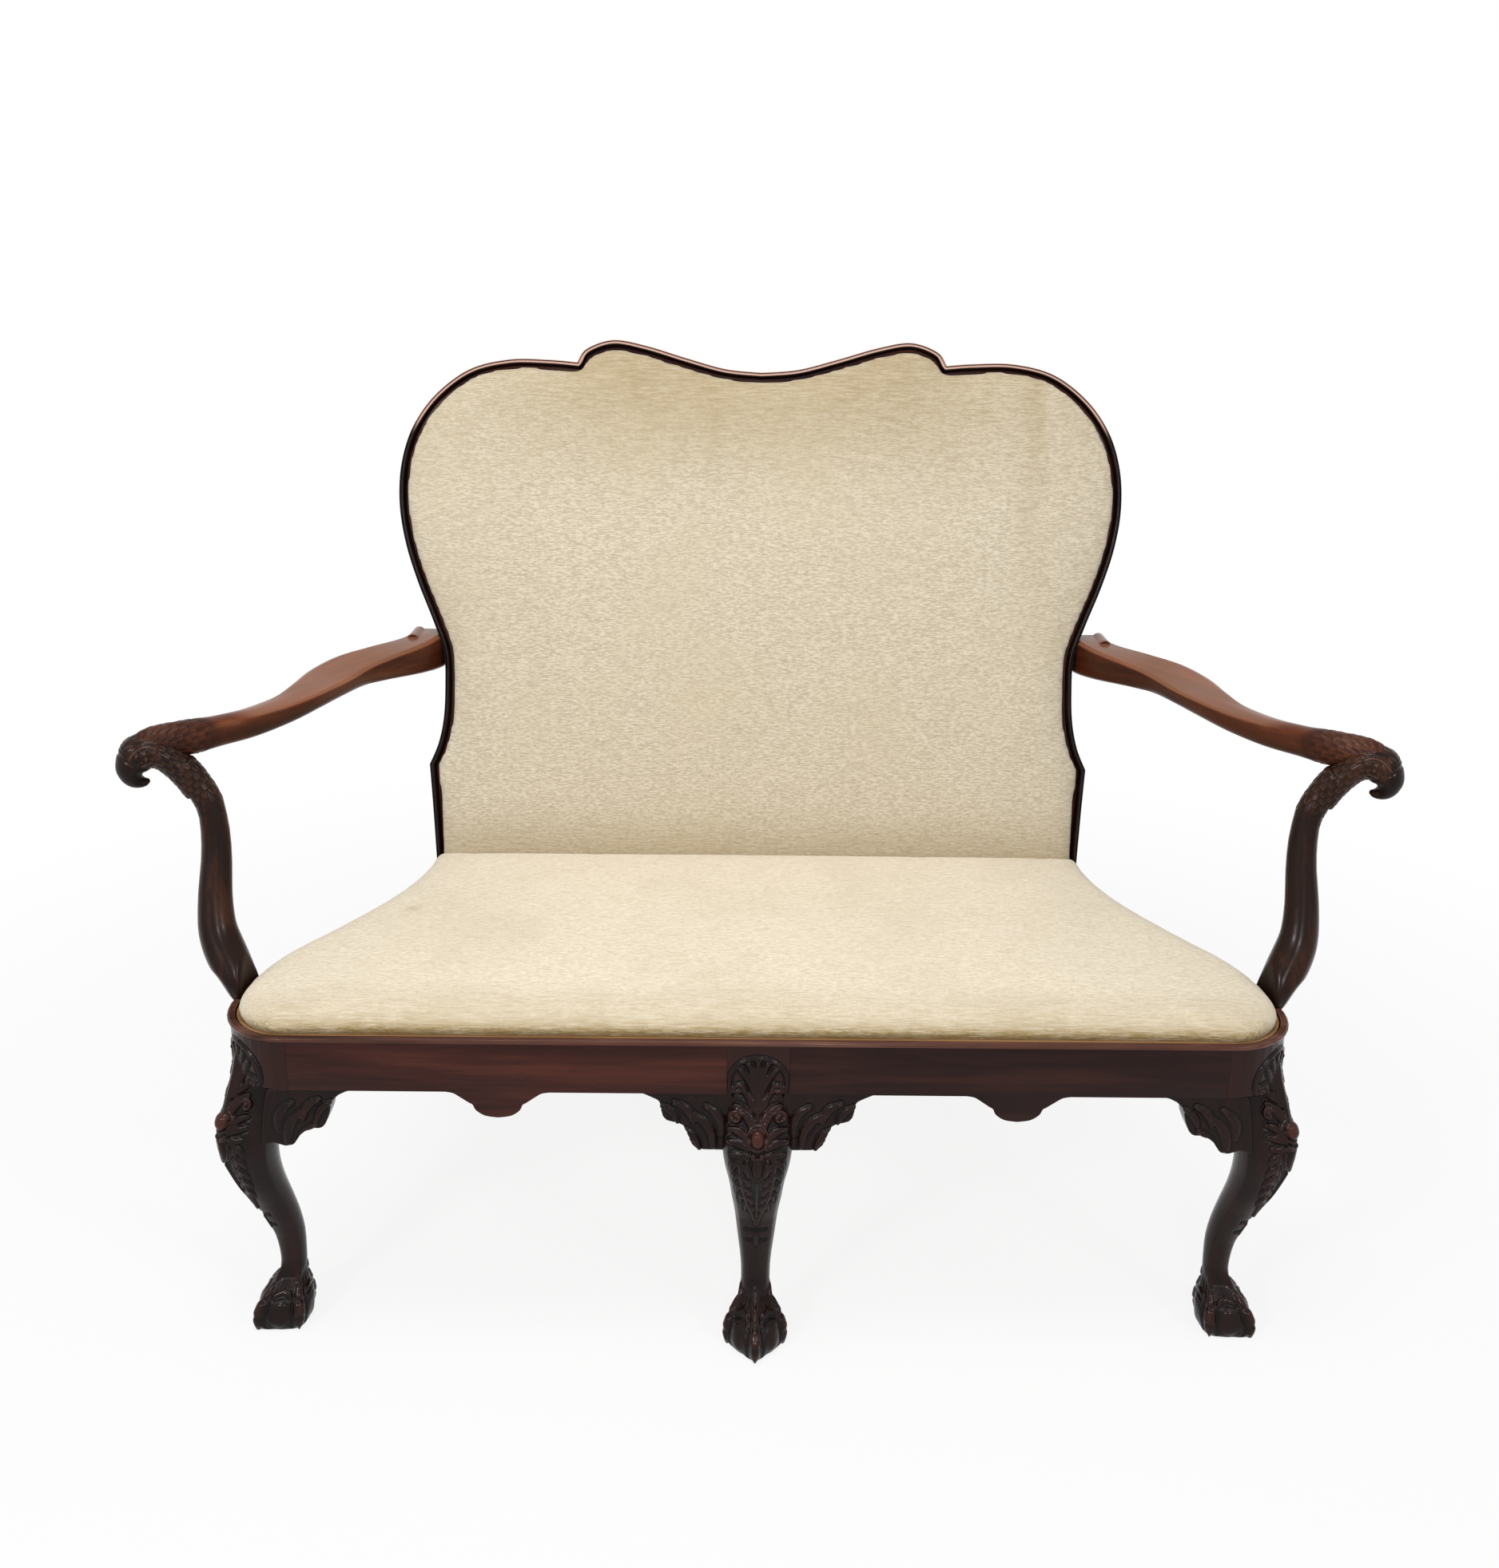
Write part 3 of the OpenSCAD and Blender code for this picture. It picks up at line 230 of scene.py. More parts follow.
# Finishes
class Wire:
    # a socket of a shader tree that can be added, multiplied and so on
    def __init__(self, tree, socket):
        self.tree, self.socket = tree, socket

    def maths(self, operation, first, second=None, clamp=False):
        node = self.tree.nodes.new("ShaderNodeMath")
        node.operation = operation
        node.use_clamp = clamp
        for place, value in zip(node.inputs, (first, second)):
            if isinstance(value, Wire):
                self.tree.links.new(value.socket, place)
            elif value is not None:
                place.default_value = value
        return Wire(self.tree, node.outputs[0])

    def __add__(self, other): return self.maths("ADD", self, other)
    def __radd__(self, other): return self.maths("ADD", other, self)
    def __sub__(self, other): return self.maths("SUBTRACT", self, other)
    def __rsub__(self, other): return self.maths("SUBTRACT", other, self)
    def __mul__(self, other): return self.maths("MULTIPLY", self, other)
    def __rmul__(self, other): return self.maths("MULTIPLY", other, self)
    def clamped(self): return self.maths("ADD", self, 0.0, clamp=True)


class Finish:
    def __init__(self, name, store=bpy.data.materials):
        self.made = store.new(name)
        self.made.use_nodes = True
        self.tree = self.made.node_tree
        self.tree.nodes.clear()

    def node(self, kind, values=None, settings=None, out=0):
        made = self.tree.nodes.new("ShaderNode" + kind)
        for key, value in (settings or {}).items():
            if key == "stops":
                elements = made.color_ramp.elements
                while len(elements) < len(value):
                    elements.new(0.5)
                for stop, (place, colour) in zip(elements, value):
                    stop.position = place
                    stop.color = (*colour, 1)
            else:
                setattr(made, key, value)
        for key, value in (values or {}).items():
            place = made.inputs[key]
            if isinstance(value, Wire):
                self.tree.links.new(value.socket, place)
            else:
                place.default_value = (*value, 1) if place.type == "RGBA" and len(value) == 3 else value
        return Wire(self.tree, made.outputs[out]) if len(made.outputs) else made

    def place(self, scale, turn=0.0):
        # object coordinates, turned about z first and then stretched, by one scale or three
        co = self.node("TexCoord", out="Object")
        if turn:
            co = self.node("Mapping", {"Vector": co, "Rotation": (0, 0, turn)})
        return self.node("Mapping", {"Vector": co, "Scale": scale if np.ndim(scale) else (scale,) * 3})

    def noise(self, vector, scale, detail=4, rough=0.5, distort=0.0):
        return self.node("TexNoise", {
            "Vector": vector, "Scale": scale, "Detail": detail, "Roughness": rough, "Distortion": distort})

    def band(self, value, low, high):
        return self.node("MapRange", {"Value": value, "From Min": low, "From Max": high},
                         {"interpolation_type": "SMOOTHSTEP"})

    def mix(self, factor, first, second):
        return self.node("Mix", {0: factor, 6: first, 7: second}, {"data_type": "RGBA"}, 2)

    def axis(self, number):
        # one object coordinate, 0 for x, 1 for y and 2 for z
        return self.node("SeparateXYZ", {0: self.node("TexCoord", out="Object")}, out=number)

    def distance(self, operation, *points):
        co = self.node("TexCoord", out="Object")
        return self.node("VectorMath", dict(enumerate((co, *points))), {"operation": operation}, "Value")

    def seenDirectly(self):
        # 1 for rays from the camera, and in mirrors and glass
        camera, glossy, through = (self.node("LightPath", out=name) for name in (
            "Is Camera Ray", "Is Glossy Ray", "Is Transmission Ray"))
        return (camera + glossy + through).clamped()

    def bump(self, height, distance, strength):
        return self.node("Bump", {"Height": height, "Distance": distance, "Strength": strength})

    def surface(self, **values):
        names = {key.replace("_", " "): value for key, value in values.items()}
        return self.output("Material", "BsdfPrincipled", names)

    def output(self, place, kind, values):
        self.node("Output" + place, {"Surface": self.node(kind, values)})
        return self.made


def linear(*colour):
    # screen values from 0 to 255 as linear light
    return tuple((c / 255 / 12.92) if c < 10.3 else ((c / 255 + 0.055) / 1.055) ** 2.4 for c in colour)


# each wood: dark, middle and pale tone, the tone of its rubbed parts and painted highlights, and its
# roughness
woodLooks = {
    "dark": ((22, 9, 7), (60, 28, 22), (92, 47, 35), (92, 47, 35), 0.22),
    # a darker copy of dark for the right rail, as painted shade
    "paintedShade": ((14, 6, 5), (38, 18, 15), (62, 33, 26), (62, 33, 26), 0.22),
    "carved": ((10, 4, 3), (28, 11, 8), (46, 21, 16), (80, 42, 32), 0.16),
    "arm": ((44, 19, 10), (104, 52, 28), (150, 96, 66), (172, 122, 94), 0.16),
    "lip": ((36, 18, 13), (88, 54, 43), (128, 92, 78), (128, 92, 78), 0.18),
    "support": ((12, 5, 3), (33, 15, 8), (70, 38, 22), (122, 84, 62), 0.17),
    "bead": ((8, 4, 3), (22, 10, 7), (40, 20, 14), (250, 204, 184), 0.24),
    "plain": ((108, 78, 48), (150, 114, 74), (176, 140, 98), (176, 140, 98), 0.6),
}
# how often the figure repeats in a metre along and across the grain; the polish
woodGrain = {"along": 2.0, "across": 30, "pores": 9, "drift": 2.5, "blotch": 7, "bump": 0.0002,
             "coat": 0.025, "carvedCoat": 0.08, "coatRough": 0.06, "specular": 0.13}


def woodFinish(name, look, along="x", carved=False, turn=0.0):
    *tones, roughness = woodLooks[look]
    low, mid, high, highlightAndRubTone = (linear(*tone) for tone in tones)
    finish = Finish(name)
    place, noise, band, mix = finish.place, finish.noise, finish.band, finish.mix
    stretch = tuple(woodGrain["along" if axis == along else "across"] for axis in "xyz")
    drift = noise(place(woodGrain["drift"]), 1.0, 2)
    grain = noise(place(stretch, turn), 1.5, 6, 0.6, 0.4)
    pores = noise(place([s * woodGrain["pores"] for s in stretch], turn), 1.3, 3, 0.7)
    figure = grain * 0.75 + drift * 0.25
    stops = [(0.3, low), (0.52, mid), (0.74, high)]
    tone = finish.node("ValToRGB", {"Fac": figure}, {"stops": stops})
    tone = mix(band(pores, 0.6, 0.74) * 0.4, tone, low)
    blotch = band(noise(place(woodGrain["blotch"]), 1.0, 3), 0.46, 0.72)
    tone = mix(blotch * 0.22, tone, low)
    rough = roughness + pores * 0.12 + blotch * 0.05
    if carved:
        wear = finish.node("Attribute", None, {"attribute_name": "wear"}, "Fac")
        # painted shade darkens the hollows; painted highlight with rubbed wear pales the crests and tops
        hollowShade = 1 - band(wear, -0.8, 0.35)
        highlightAndRub = band(wear, 1.2, 3.6)
        tone = mix(hollowShade * 0.85, tone, tuple(c * 0.3 for c in low))
        tone = mix(highlightAndRub * 0.6, tone, highlightAndRubTone)
        rough = rough + hollowShade * 0.25 - highlightAndRub * 0.05
    height = grain * 0.5 + pores * 0.5
    return finish.surface(
        Base_Color=tone, Roughness=rough, Normal=finish.bump(height, woodGrain["bump"], 0.3),
        Coat_Weight=woodGrain["carvedCoat" if look == "carved" else "coat"],
        Coat_Roughness=woodGrain["coatRough"], Specular_IOR_Level=woodGrain["specular"])


# each kind of thread: how many in a metre along and across, roughness and bend of its pattern; each
# blotch: scale, detail and roughness
clothLook = {"pile": 0.0008, "soil": (146, 122, 72), "dark": (200, 186, 156), "spot": (96, 70, 44),
             "slub": (130, 700, 0.7, 0.1), "long": (40, 520, 0.6, 0.4), "warp": (640, 70, 0.6, 0.0),
             "speck": (420, 2, 0.6), "cloud": (5, 4, 0.55), "mottle": (38, 4, 0.6), "smallSpot": 0.005}


def clothFinish(name, base, pale, soilMask=None, flat=False, stainsAndDentShade=()):
    # a chenille rep: short thick threads across and fine ones the other way
    finish, look = Finish(name), clothLook
    place, noise, band, mix = finish.place, finish.noise, finish.band, finish.mix
    dark = tuple(c * share for c, share in zip(linear(*base), (0.72, 0.68, 0.58)))

    def threads(along, across, rough, bend):
        return noise(place((along, across if flat else 1, across)), 1.0, 2, rough, bend)

    slubs, longer, warp = (threads(*look[kind]) for kind in ("slub", "long", "warp"))
    speck, cloud, mottle = (noise(place(scale), 1.0, detail, rough)
                            for scale, detail, rough in (look[k] for k in ("speck", "cloud", "mottle")))
    tone = mix(band(slubs, 0.38, 0.6), linear(*base), linear(*pale))
    tone = mix(band(longer, 0.46, 0.66) * 0.24, tone, dark)
    tone = mix(band(warp, 0.5, 0.76) * 0.2, tone, dark)
    tone = mix(band(speck, 0.58, 0.76) * 0.1, tone, dark)
    tone = mix(band(cloud, 0.45, 0.72) * 0.3, tone, linear(*look["dark"]))
    if soilMask is not None:
        worn = soilMask(finish)
        thread = band(longer * 0.5 + slubs * 0.5, 0.42, 0.58)
        soil = (worn * (0.7 + mottle * 0.5) * (0.8 + thread * 0.4)).clamped()
        tone = mix(soil, tone, linear(*look["soil"]))
        # pale threads stay clean in the soiled part
        clean = (band(1 - longer, 0.6, 0.7) * worn).clamped() * 0.3
        tone = mix(clean, tone, linear(*pale))
    for spot, radius, share in stainsAndDentShade:
        away = finish.distance("DISTANCE", spot)
        blot = (1 - band(away + mottle * radius, radius * 0.7, radius * 1.9)) * share
        tone = mix(blot, tone, linear(*look["spot" if radius < look["smallSpot"] else "soil"]))
    height = slubs * 0.5 + longer * 0.2 + warp * 0.15 + speck * 0.15
    return finish.surface(
        Base_Color=tone, Roughness=0.93, Normal=finish.bump(height, look["pile"], 0.5),
        Sheen_Weight=0.2, Sheen_Roughness=0.5, Specular_IOR_Level=0.2)


def setFinish(piece, material):
    piece.data.materials.clear()
    piece.data.materials.append(material)


def enter(piece, material, body, slotName, *stands, smooth=60):
    # the shading and finish of a piece, its body, and the CAD pieces that it stands for
    if smooth:
        pick(piece)
        bpy.ops.object.shade_smooth_by_angle(angle=radians(smooth))
    setFinish(piece, material)
    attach(piece, body)
    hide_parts(*stands)


darkX = woodFinish("mahoganyRails", "dark")
# the right rail is painted darker than the left, as painted shade
railRightPaintedShade = woodFinish("mahoganyRailRightShaded", "paintedShade")
darkZ = woodFinish("mahoganyUprights", "dark", "z")
darkY = woodFinish("mahoganySides", "dark", "y")
darkCarved = woodFinish("mahoganyCarved", "carved", "z", True)
armTurn = atan2(700 - 472, 612 - 175)      # the arms' way in plan, from front to rear
armWoodLeft = woodFinish("mahoganyArmLeft", "arm", "y", True, armTurn)
armWoodRight = woodFinish("mahoganyArmRight", "arm", "y", True, -armTurn)
supportWood = woodFinish("mahoganySupports", "support", "z", True)
lipWood = woodFinish("mahoganyLip", "lip")
beadWood = woodFinish("mahoganyBead", "bead", "x", True)
plainWood = woodFinish("beechFrame", "plain")


steel = Finish("dullSteel")
spots = steel.noise(steel.place(400), 1.0, 3)
tone = steel.mix(steel.band(spots, 0.5, 0.75), linear(150, 150, 152), linear(96, 84, 74))
bySlot = {"dark_mahogany": darkX, "arm_mahogany": lipWood,
          "steel": steel.surface(Base_Color=tone, Metallic=1.0, Roughness=0.35 + spots * 0.3)}
for part in frame["record"]["subparts"]:
    setFinish(nodes[part["node"]], bySlot.get(part["material_slot"], plainWood))
print("finishes made")


def dress(node, material, bevel=0.0009, slotName="dark_mahogany"):
    # the same piece with its edges eased and its curves shaded smooth
    piece = copyNode(node, node.replace("_", "") + "Dressed")
    inEdit(piece, lambda: bpy.ops.mesh.dissolve_limited(angle_limit=radians(0.6)))
    if bevel:
        modify(piece, "BEVEL", width=bevel, segments=2, limit_method="ANGLE", angle_limit=radians(32))
    enter(piece, material, "frame", slotName, node, smooth=34)


dress("front_rail_left", darkX)
dress("front_rail_right", railRightPaintedShade)
dress("side_rail_left", darkY)
dress("side_rail_right", darkY)
for node in ("lip_front", "lip_corner_left", "lip_corner_right", "lip_side_left", "lip_side_right"):
    dress(node, lipWood, 0, "arm_mahogany")
dress("rear_rail", darkX)
dress("rear_leg_centre", darkZ, 0.002)
print("rails dressed")


# Carving
def ridge(line, thick, high, taper=1.0):
    # a raised run: points in mm, half width and height in mm
    count = len(line)
    widths = [thick * (1 + (taper - 1) * i / max(count - 1, 1)) for i in range(count)]
    return {"line": np.array(line, float), "wide": widths, "high": high}


def dot(place, radius, high):
    return {"line": np.array([place, place], float), "wide": [radius, radius], "high": high}


def petal(root, tip, bend, wide, high):
    # a leaf lobe: a bent line that is widest past its middle
    root, tip = np.array(root, float), np.array(tip, float)
    side = np.array([-(tip - root)[1], (tip - root)[0]])
    middle = (root + tip) / 2 + side * bend
    line, widths = [], []
    for k in range(9):
        t = k / 8
        line.append(root * (1 - t) ** 2 + 2 * middle * t * (1 - t) + tip * t ** 2)
        widths.append(wide * (0.35 + 0.65 * sin(pi * min(0.12 + 0.78 * t, 1))))
    return {"line": np.array(line), "wide": widths, "high": high, "crease": 0.45}


def curl(middle, radius, start, turn, thick, high, inner=0.25):
    # a scroll that winds in towards its eye
    line = []
    for k in range(19):
        t = k / 18
        angle = radians(start + turn * t)
        reach = radius * (1 - (1 - inner) * t)
        line.append((middle[0] + reach * cos(angle), middle[1] + reach * sin(angle)))
    return [ridge(line, thick, high, 0.7), dot(line[-1], thick * 1.25, high * 1.15)]


def moved(strokes, by=0, times=1):
    return [{**stroke, "line": stroke["line"] * times + by} for stroke in strokes]


def bothSides(strokes):
    return strokes + moved(strokes, times=(-1, 1))


def relief(u, v, strokes):
    height = np.zeros(len(u))
    for stroke in strokes:
        line, wide = stroke["line"], stroke["wide"]
        low, top = line.min(0) - max(wide), line.max(0) + max(wide)
        near = np.nonzero((u > low[0]) & (u < top[0]) & (v > low[1]) & (v < top[1]))[0]
        x, y = u[near], v[near]
        best = np.zeros(len(near))
        for k in range(len(line) - 1):
            start, run = line[k], line[k + 1] - line[k]
            t = np.clip(((x - start[0]) * run[0] + (y - start[1]) * run[1]) / max(run @ run, 1e-9), 0, 1)
            away = np.hypot(x - start[0] - t * run[0], y - start[1] - t * run[1])
            width = wide[k] + t * (wide[k + 1] - wide[k])
            lobe = np.clip(1 - (away / width) ** 2, 0, 1) ** 0.75
            crease = stroke.get("crease", 0) * np.exp(-(away / width / 0.26) ** 2)
            best = np.maximum(best, lobe * (1 - crease))
        rise = best * stroke["high"]
        height[near] = np.maximum(height[near], rise) if stroke["high"] > 0 else height[near] + rise
    return height


def carve(u, v, on, strokes, ground=-1.0):
    # raises the strokes and lets the ground in round them; returns the height in mm
    u = np.where(on > 0, u, 999)
    height = relief(u, v, strokes)
    wider = [{**s, "wide": [w * 1.5 + 1.2 for w in s["wide"]], "high": 1.0} for s in strokes]
    lower = np.minimum(height, 0) + ground * ramp(relief(u, v, wider), 0, 0.5)
    return np.where(height > 0.1, height, lower) * on


def reliefLightAndWear(height):
    # crests keep a share of their height for painted highlight and rubbed wear, the ground keeps its depth
    # for painted shade
    return np.where(height > 0, height * 0.6, height)


def palmette(middle, radius):
    # an arched fan of flutes over two volutes
    def at(degrees, reach):
        angle = radians(degrees)
        return radius * reach * cos(angle), radius * reach * sin(angle)

    arch = [(x, y * 0.92) for x, y in (at(degrees, 1) for degrees in range(-25, 206, 10))]
    foot = (0, -radius * 0.85)
    strokes = [ridge(arch, radius * 0.08, 2.0)]
    half = []
    for degrees, reach in ((64, 0.78), (38, 0.76)):
        tip = at(degrees, reach)
        half.append(petal(foot, tip, 0.14, radius * 0.15, 2.8))
        half.append(dot(tip, radius * 0.12, 3.2))
    half += curl((radius * 0.7, -radius * 0.3), radius * 0.24, 200, -330, radius * 0.1, 3.4)
    half.append(petal(foot, (radius * 0.55, -radius * 0.05), -0.25, radius * 0.12, 2.6))
    top = (0, radius * 0.8)
    strokes += bothSides(half) + [petal(foot, top, 0, radius * 0.15, 2.8), dot(top, radius * 0.12, 3.2)]
    return moved(strokes, middle)


def kneeCarving():
    # u runs across the knee and v is the height, in mm: scrolls and leaves round an oval boss, bellflowers
    # down the shank and a tie at the ankle; half is drawn and then mirrored
    stem = [(17, 282), (21, 266), (20, 250), (18, 234), (15, 218), (12, 204), (8, 190), (3, 176), (0, 168)]
    tongue = [(13, 274), (12.5, 264), (9, 254), (0, 247)]
    half = [ridge(stem, 2.6, 2.4, 0.8), ridge(tongue, 2.4, 2.6), dot((5.4, 279), 4.6, 4.0)]
    half += curl((26, 320), 7.5, 140, -400, 3.0, 4.0)
    for leaf in (((6, 302), (26, 332), 0.32, 7.0, 3.6), ((11, 294), (33, 307), 0.25, 5.4, 3.0),
                 ((12, 287), (35, 294), 0.15, 5.0, 2.8), ((12, 280), (31, 280), -0.1, 4.6, 2.6),
                 ((0, 326), (11, 346), -0.3, 4.2, 2.8)):
        half.append(petal(*leaf))
    for k, (x, z) in enumerate(((21, 266), (20, 249), (17, 232), (14, 216), (10, 200))):
        size = 1 - 0.09 * k
        half.append(petal((x - 2, z + 6), (x + 9 * size, z - 7), 0.35, 4.4 * size, 2.8))
        half.append(petal((x - 1, z + 1), (x - 10 * size, z - 13 * size), -0.25, 4.0 * size, 2.0))
    strokes = bothSides(half)
    turns = [radians(degrees) for degrees in range(0, 361, 15)]
    strokes.append(ridge([(13.5 * cos(a), 299 + 13.5 * sin(a)) for a in turns], 2.4, 3.6))
    strokes.append({**dot((0, 299), 9.8, 8.5), "line": np.array([(0, 300.5), (0, 297.5)])})
    strokes += [petal((0, 273), (0, 253), 0, 7.5, 2.0), ridge([(0, 242), (0, 172)], 2.2, 1.8, 0.5),
                ridge([(0, 318), (0, 345)], 3.4, 3.0, 0.6)]
    strokes += [ridge([(-17, z + 1), (0, z - 1), (17, z + 1)], 1.6, -0.9) for z in (159, 142)]
    return strokes + [petal((0, 153), (0, 134), 0, 3.4, 1.1)]


# heights in mm; the corner blocks are rounded about a point inside them
legLook = {"voxel": 1.2 * mm, "shoulder": (335, 352), "knee": (120, 346), "block": (330, 404), "plain": 345,
           "foot": 84, "footRound": 34, "cornerAt": (0.544, 0.086), "cornerRound": 82}
# the node, the way the knee points, and how pale the plain wood of the block is painted, as painted light:
# darkest on the right
legs = {"frontLegLeft": ("front_leg_left", 225, 2.1), "frontLegRight": ("front_leg_right", 315, 1.9),
        "frontLegCentre": ("front_leg_centre", 270, 2.2)}


def footCarving():
    # u runs round the foot in mm, with the front claw at 0 and the next at 53; v is the height
    web = [(10, 40), (15, 46), (26.7, 49), (38.4, 46), (43.4, 40)]
    quarter = [ridge([(0, z + 3), (0, z - 3)], wide, high)
               for z, wide, high in ((64, 6.4, 3.4), (47, 6.8, 3.8), (29, 7.4, 4.2), (12, 5.4, 3.2))]
    quarter += [{**ridge([(0, 76), (0, 60), (0, 20), (0, 8)], 5.0, 2.2), "wide": [1.2, 5.0, 5.6, 4.2]},
                {**ridge([(0, 14), (0, 2)], 4.6, 3.4), "wide": [4.6, 1.6]}]
    # the ball stands out below the web, with a groove round it
    quarter += [dot((26.7, 22), 16.0, 2.6), ridge(web, 3.0, 1.6)]
    quarter += [ridge([(x, 44), (x, 6)], 2.6, -1.6) for x in (9.5, 43.9)]
    quarter.append(ridge([(14, 41), (26.7, 44), (39.4, 41)], 2.4, -1.5))
    quarter += [ridge([(x, 54), (26.7 + (x - 26.7) * 0.6, 72)], 1.8, -0.9) for x in (17, 26.7, 36.4)]
    return [stroke for one in quarter for turn in range(-3, 4) for stroke in moved([one], (turn * 53.4, 0))]


def centreLine(co, way):
    # middle of the leg and its half width at each height, from slices of the mesh
    heights = np.arange(0.006, 0.345, 0.004)
    ahead, side = np.array([[cos(way), sin(way)], [-sin(way), cos(way)]])
    rows = []
    for z in heights:
        near = co[np.abs(co[:, 2] - z) < 0.003][:, :2]
        a, b = near @ ahead, near @ side
        middle = ahead * (a.min() + a.max()) / 2 + side * (b.min() + b.max()) / 2
        rows.append((*middle, (np.ptp(a) + np.ptp(b)) / 4))
    return heights, np.array(rows)


def carvedLeg(name, node, heading, blockPaintedLight):
    look, way = legLook, radians(heading)
    leg = copyNode(node, name)
    remesh(leg, look["voxel"])
    below = 1 - ramp(points(leg)[:, 2] / mm, *look["shoulder"])
    easeWhere(leg, np.maximum(below, 0.08), 26)
    co, out = points(leg), normals(leg)
    heights, middles = centreLine(co, way)
    z = np.clip(co[:, 2], heights[0], heights[-1])
    cx, cy, reach = (np.interp(z, heights, middles[:, k]) for k in range(3))
    angle = np.arctan2(co[:, 1] - cy, co[:, 0] - cx) - way
    angle = (angle + pi) % (2 * pi) - pi
    u, v = angle * np.maximum(reach, 0.03) / mm, co[:, 2] / mm
    facing = out[:, 0] * cos(way) + out[:, 1] * sin(way)
    knee = ramp(facing, -0.35, 0.15) * (v < look["knee"][1]) * (v > look["knee"][0])
    height = carve(u, v, knee, kneeCarving())
    # the block above the knee carries the palmette
    if heading == 270:
        blockU, outward, fan = co[:, 0] / mm, -out[:, 1], palmette((0, 362), 33)
    else:
        side = 1 if heading == 315 else -1
        cornerX, cornerY = look["cornerAt"]
        bend = np.arctan2(co[:, 1] - (faceY + cornerY), (co[:, 0] - side * cornerX) * side)
        outward = out[:, 0] * side * np.cos(bend) + out[:, 1] * np.sin(bend)
        blockU, fan = (bend + pi / 4) * look["cornerRound"], palmette((0, 361), 36)
    onBlock = ramp(outward, 0.5, 0.9) * (v > look["block"][0]) * (v < look["block"][1])
    fan = carve(blockU, v, onBlock, fan)
    height = np.where(np.abs(fan) > np.abs(height), fan, height)
    onFoot = (1 - ramp(v, 60, 80)) * ramp(v, 0.2, 3) * (out[:, 2] > -0.8)
    foot = relief(angle * look["footRound"], v, footCarving()) * onFoot
    height = np.where(v < look["foot"], foot, height)
    setPoints(leg, co + out * (height * mm)[:, None])
    ease(leg, 1)
    co = points(leg)
    co[:, 2] = np.maximum(co[:, 2], 0)
    setPoints(leg, co)
    # the block's plain wood is painted as pale as the rail beside it, lit on the left and shaded on the
    # right, as painted light; the carving gets painted highlight and rubbed wear on its crests and painted
    # shade in its ground
    wear = np.where(knee + onBlock > 0.2, reliefLightAndWear(height), 0.6)
    wear = np.where((v > look["plain"]) & (np.abs(height) < 0.12), blockPaintedLight, wear)
    markPaintedLightAndWear(leg, np.where(v < look["foot"], foot * 0.6 - 0.1, wear))
    enter(leg, darkCarved, "frame", "dark_mahogany", node)
    print(name, "carved:", len(leg.data.polygons), "faces")


for name, facts in legs.items():
    carvedLeg(name, *facts)


# Ears
earLook = {"voxel": 1.2 * mm, "drop": 75, "root": 16, "pull": 12 * mm}


def earCarving(width):
    # u runs away from the leg; all in shares of the ear's width and of its drop below the rail
    def at(x, z):
        return x * width, railLow / mm - z * earLook["drop"]

    strokes = []
    for root, tip, bend, wide in (
            ((-0.02, 0.72), (0.2, 0.24), 0.36, 5.4), ((0.1, 0.92), (0.42, 0.36), 0.32, 5.8),
            ((0.3, 0.96), (0.56, 0.6), 0.24, 4.6), ((0.38, 0.5), (0.64, 0.18), 0.32, 5.2),
            ((0.6, 0.5), (0.84, 0.22), 0.28, 4.4)):
        strokes.append(petal(at(*root), at(*tip), bend, wide, 3.0))
        strokes.append(dot(at(*tip), wide * 0.72, 3.4))
    strokes += curl(at(0.92, 0.34), width * 0.075, 160, -360, 2.2, 3.4)
    strokes.append(dot(at(0.4, 0.8), 4.2, 2.6))
    return strokes


# each ear's lane (0 for x, 1 for y) and way along it, the leg's axis, where the root starts, the width
ears = {
    "ear_centre_left": (0, -1, 0.0, 42.4, 84), "ear_centre_right": (0, 1, 0.0, 42.4, 84),
    "ear_front_left": (0, 1, -0.58772, 34.4, 72), "ear_front_right": (0, -1, 0.58772, 34.4, 72),
    "ear_side_left": (1, 1, faceY + 0.04502, 34.4, 72), "ear_side_right": (1, 1, faceY + 0.04502, 34.4, 72),
}


def carvedEar(node, lane, way, axis, start, width):
    ear = copyNode(node, node.replace("_", "") + "Carved")
    remesh(ear, earLook["voxel"])
    ease(ear, 16)
    # the root runs on into the knee, with no gap
    co = points(ear)
    away = (co[:, lane] - axis) * way / mm - start
    co[:, lane] -= (1 - ramp(away, 0, earLook["root"])) * earLook["pull"] * way
    setPoints(ear, co)
    co, out = points(ear), normals(ear)
    u = (co[:, lane] - axis) * way / mm - start
    facing = -out[:, 1] if lane == 0 else out[:, 0] * np.sign(co[:, 0])
    on = ramp(facing, 0.5, 0.9)
    height = carve(u, co[:, 2] / mm, on, earCarving(width))
    setPoints(ear, co + out * (height * mm)[:, None])
    # painted highlight and rubbed wear on the carving's crests, painted shade in its ground
    markPaintedLightAndWear(ear, np.where(on > 0.2, reliefLightAndWear(height), 0.4))
    enter(ear, darkCarved, "frame", "dark_mahogany", node)


for node, facts in ears.items():
    carvedEar(node, *facts)
print("ears carved")

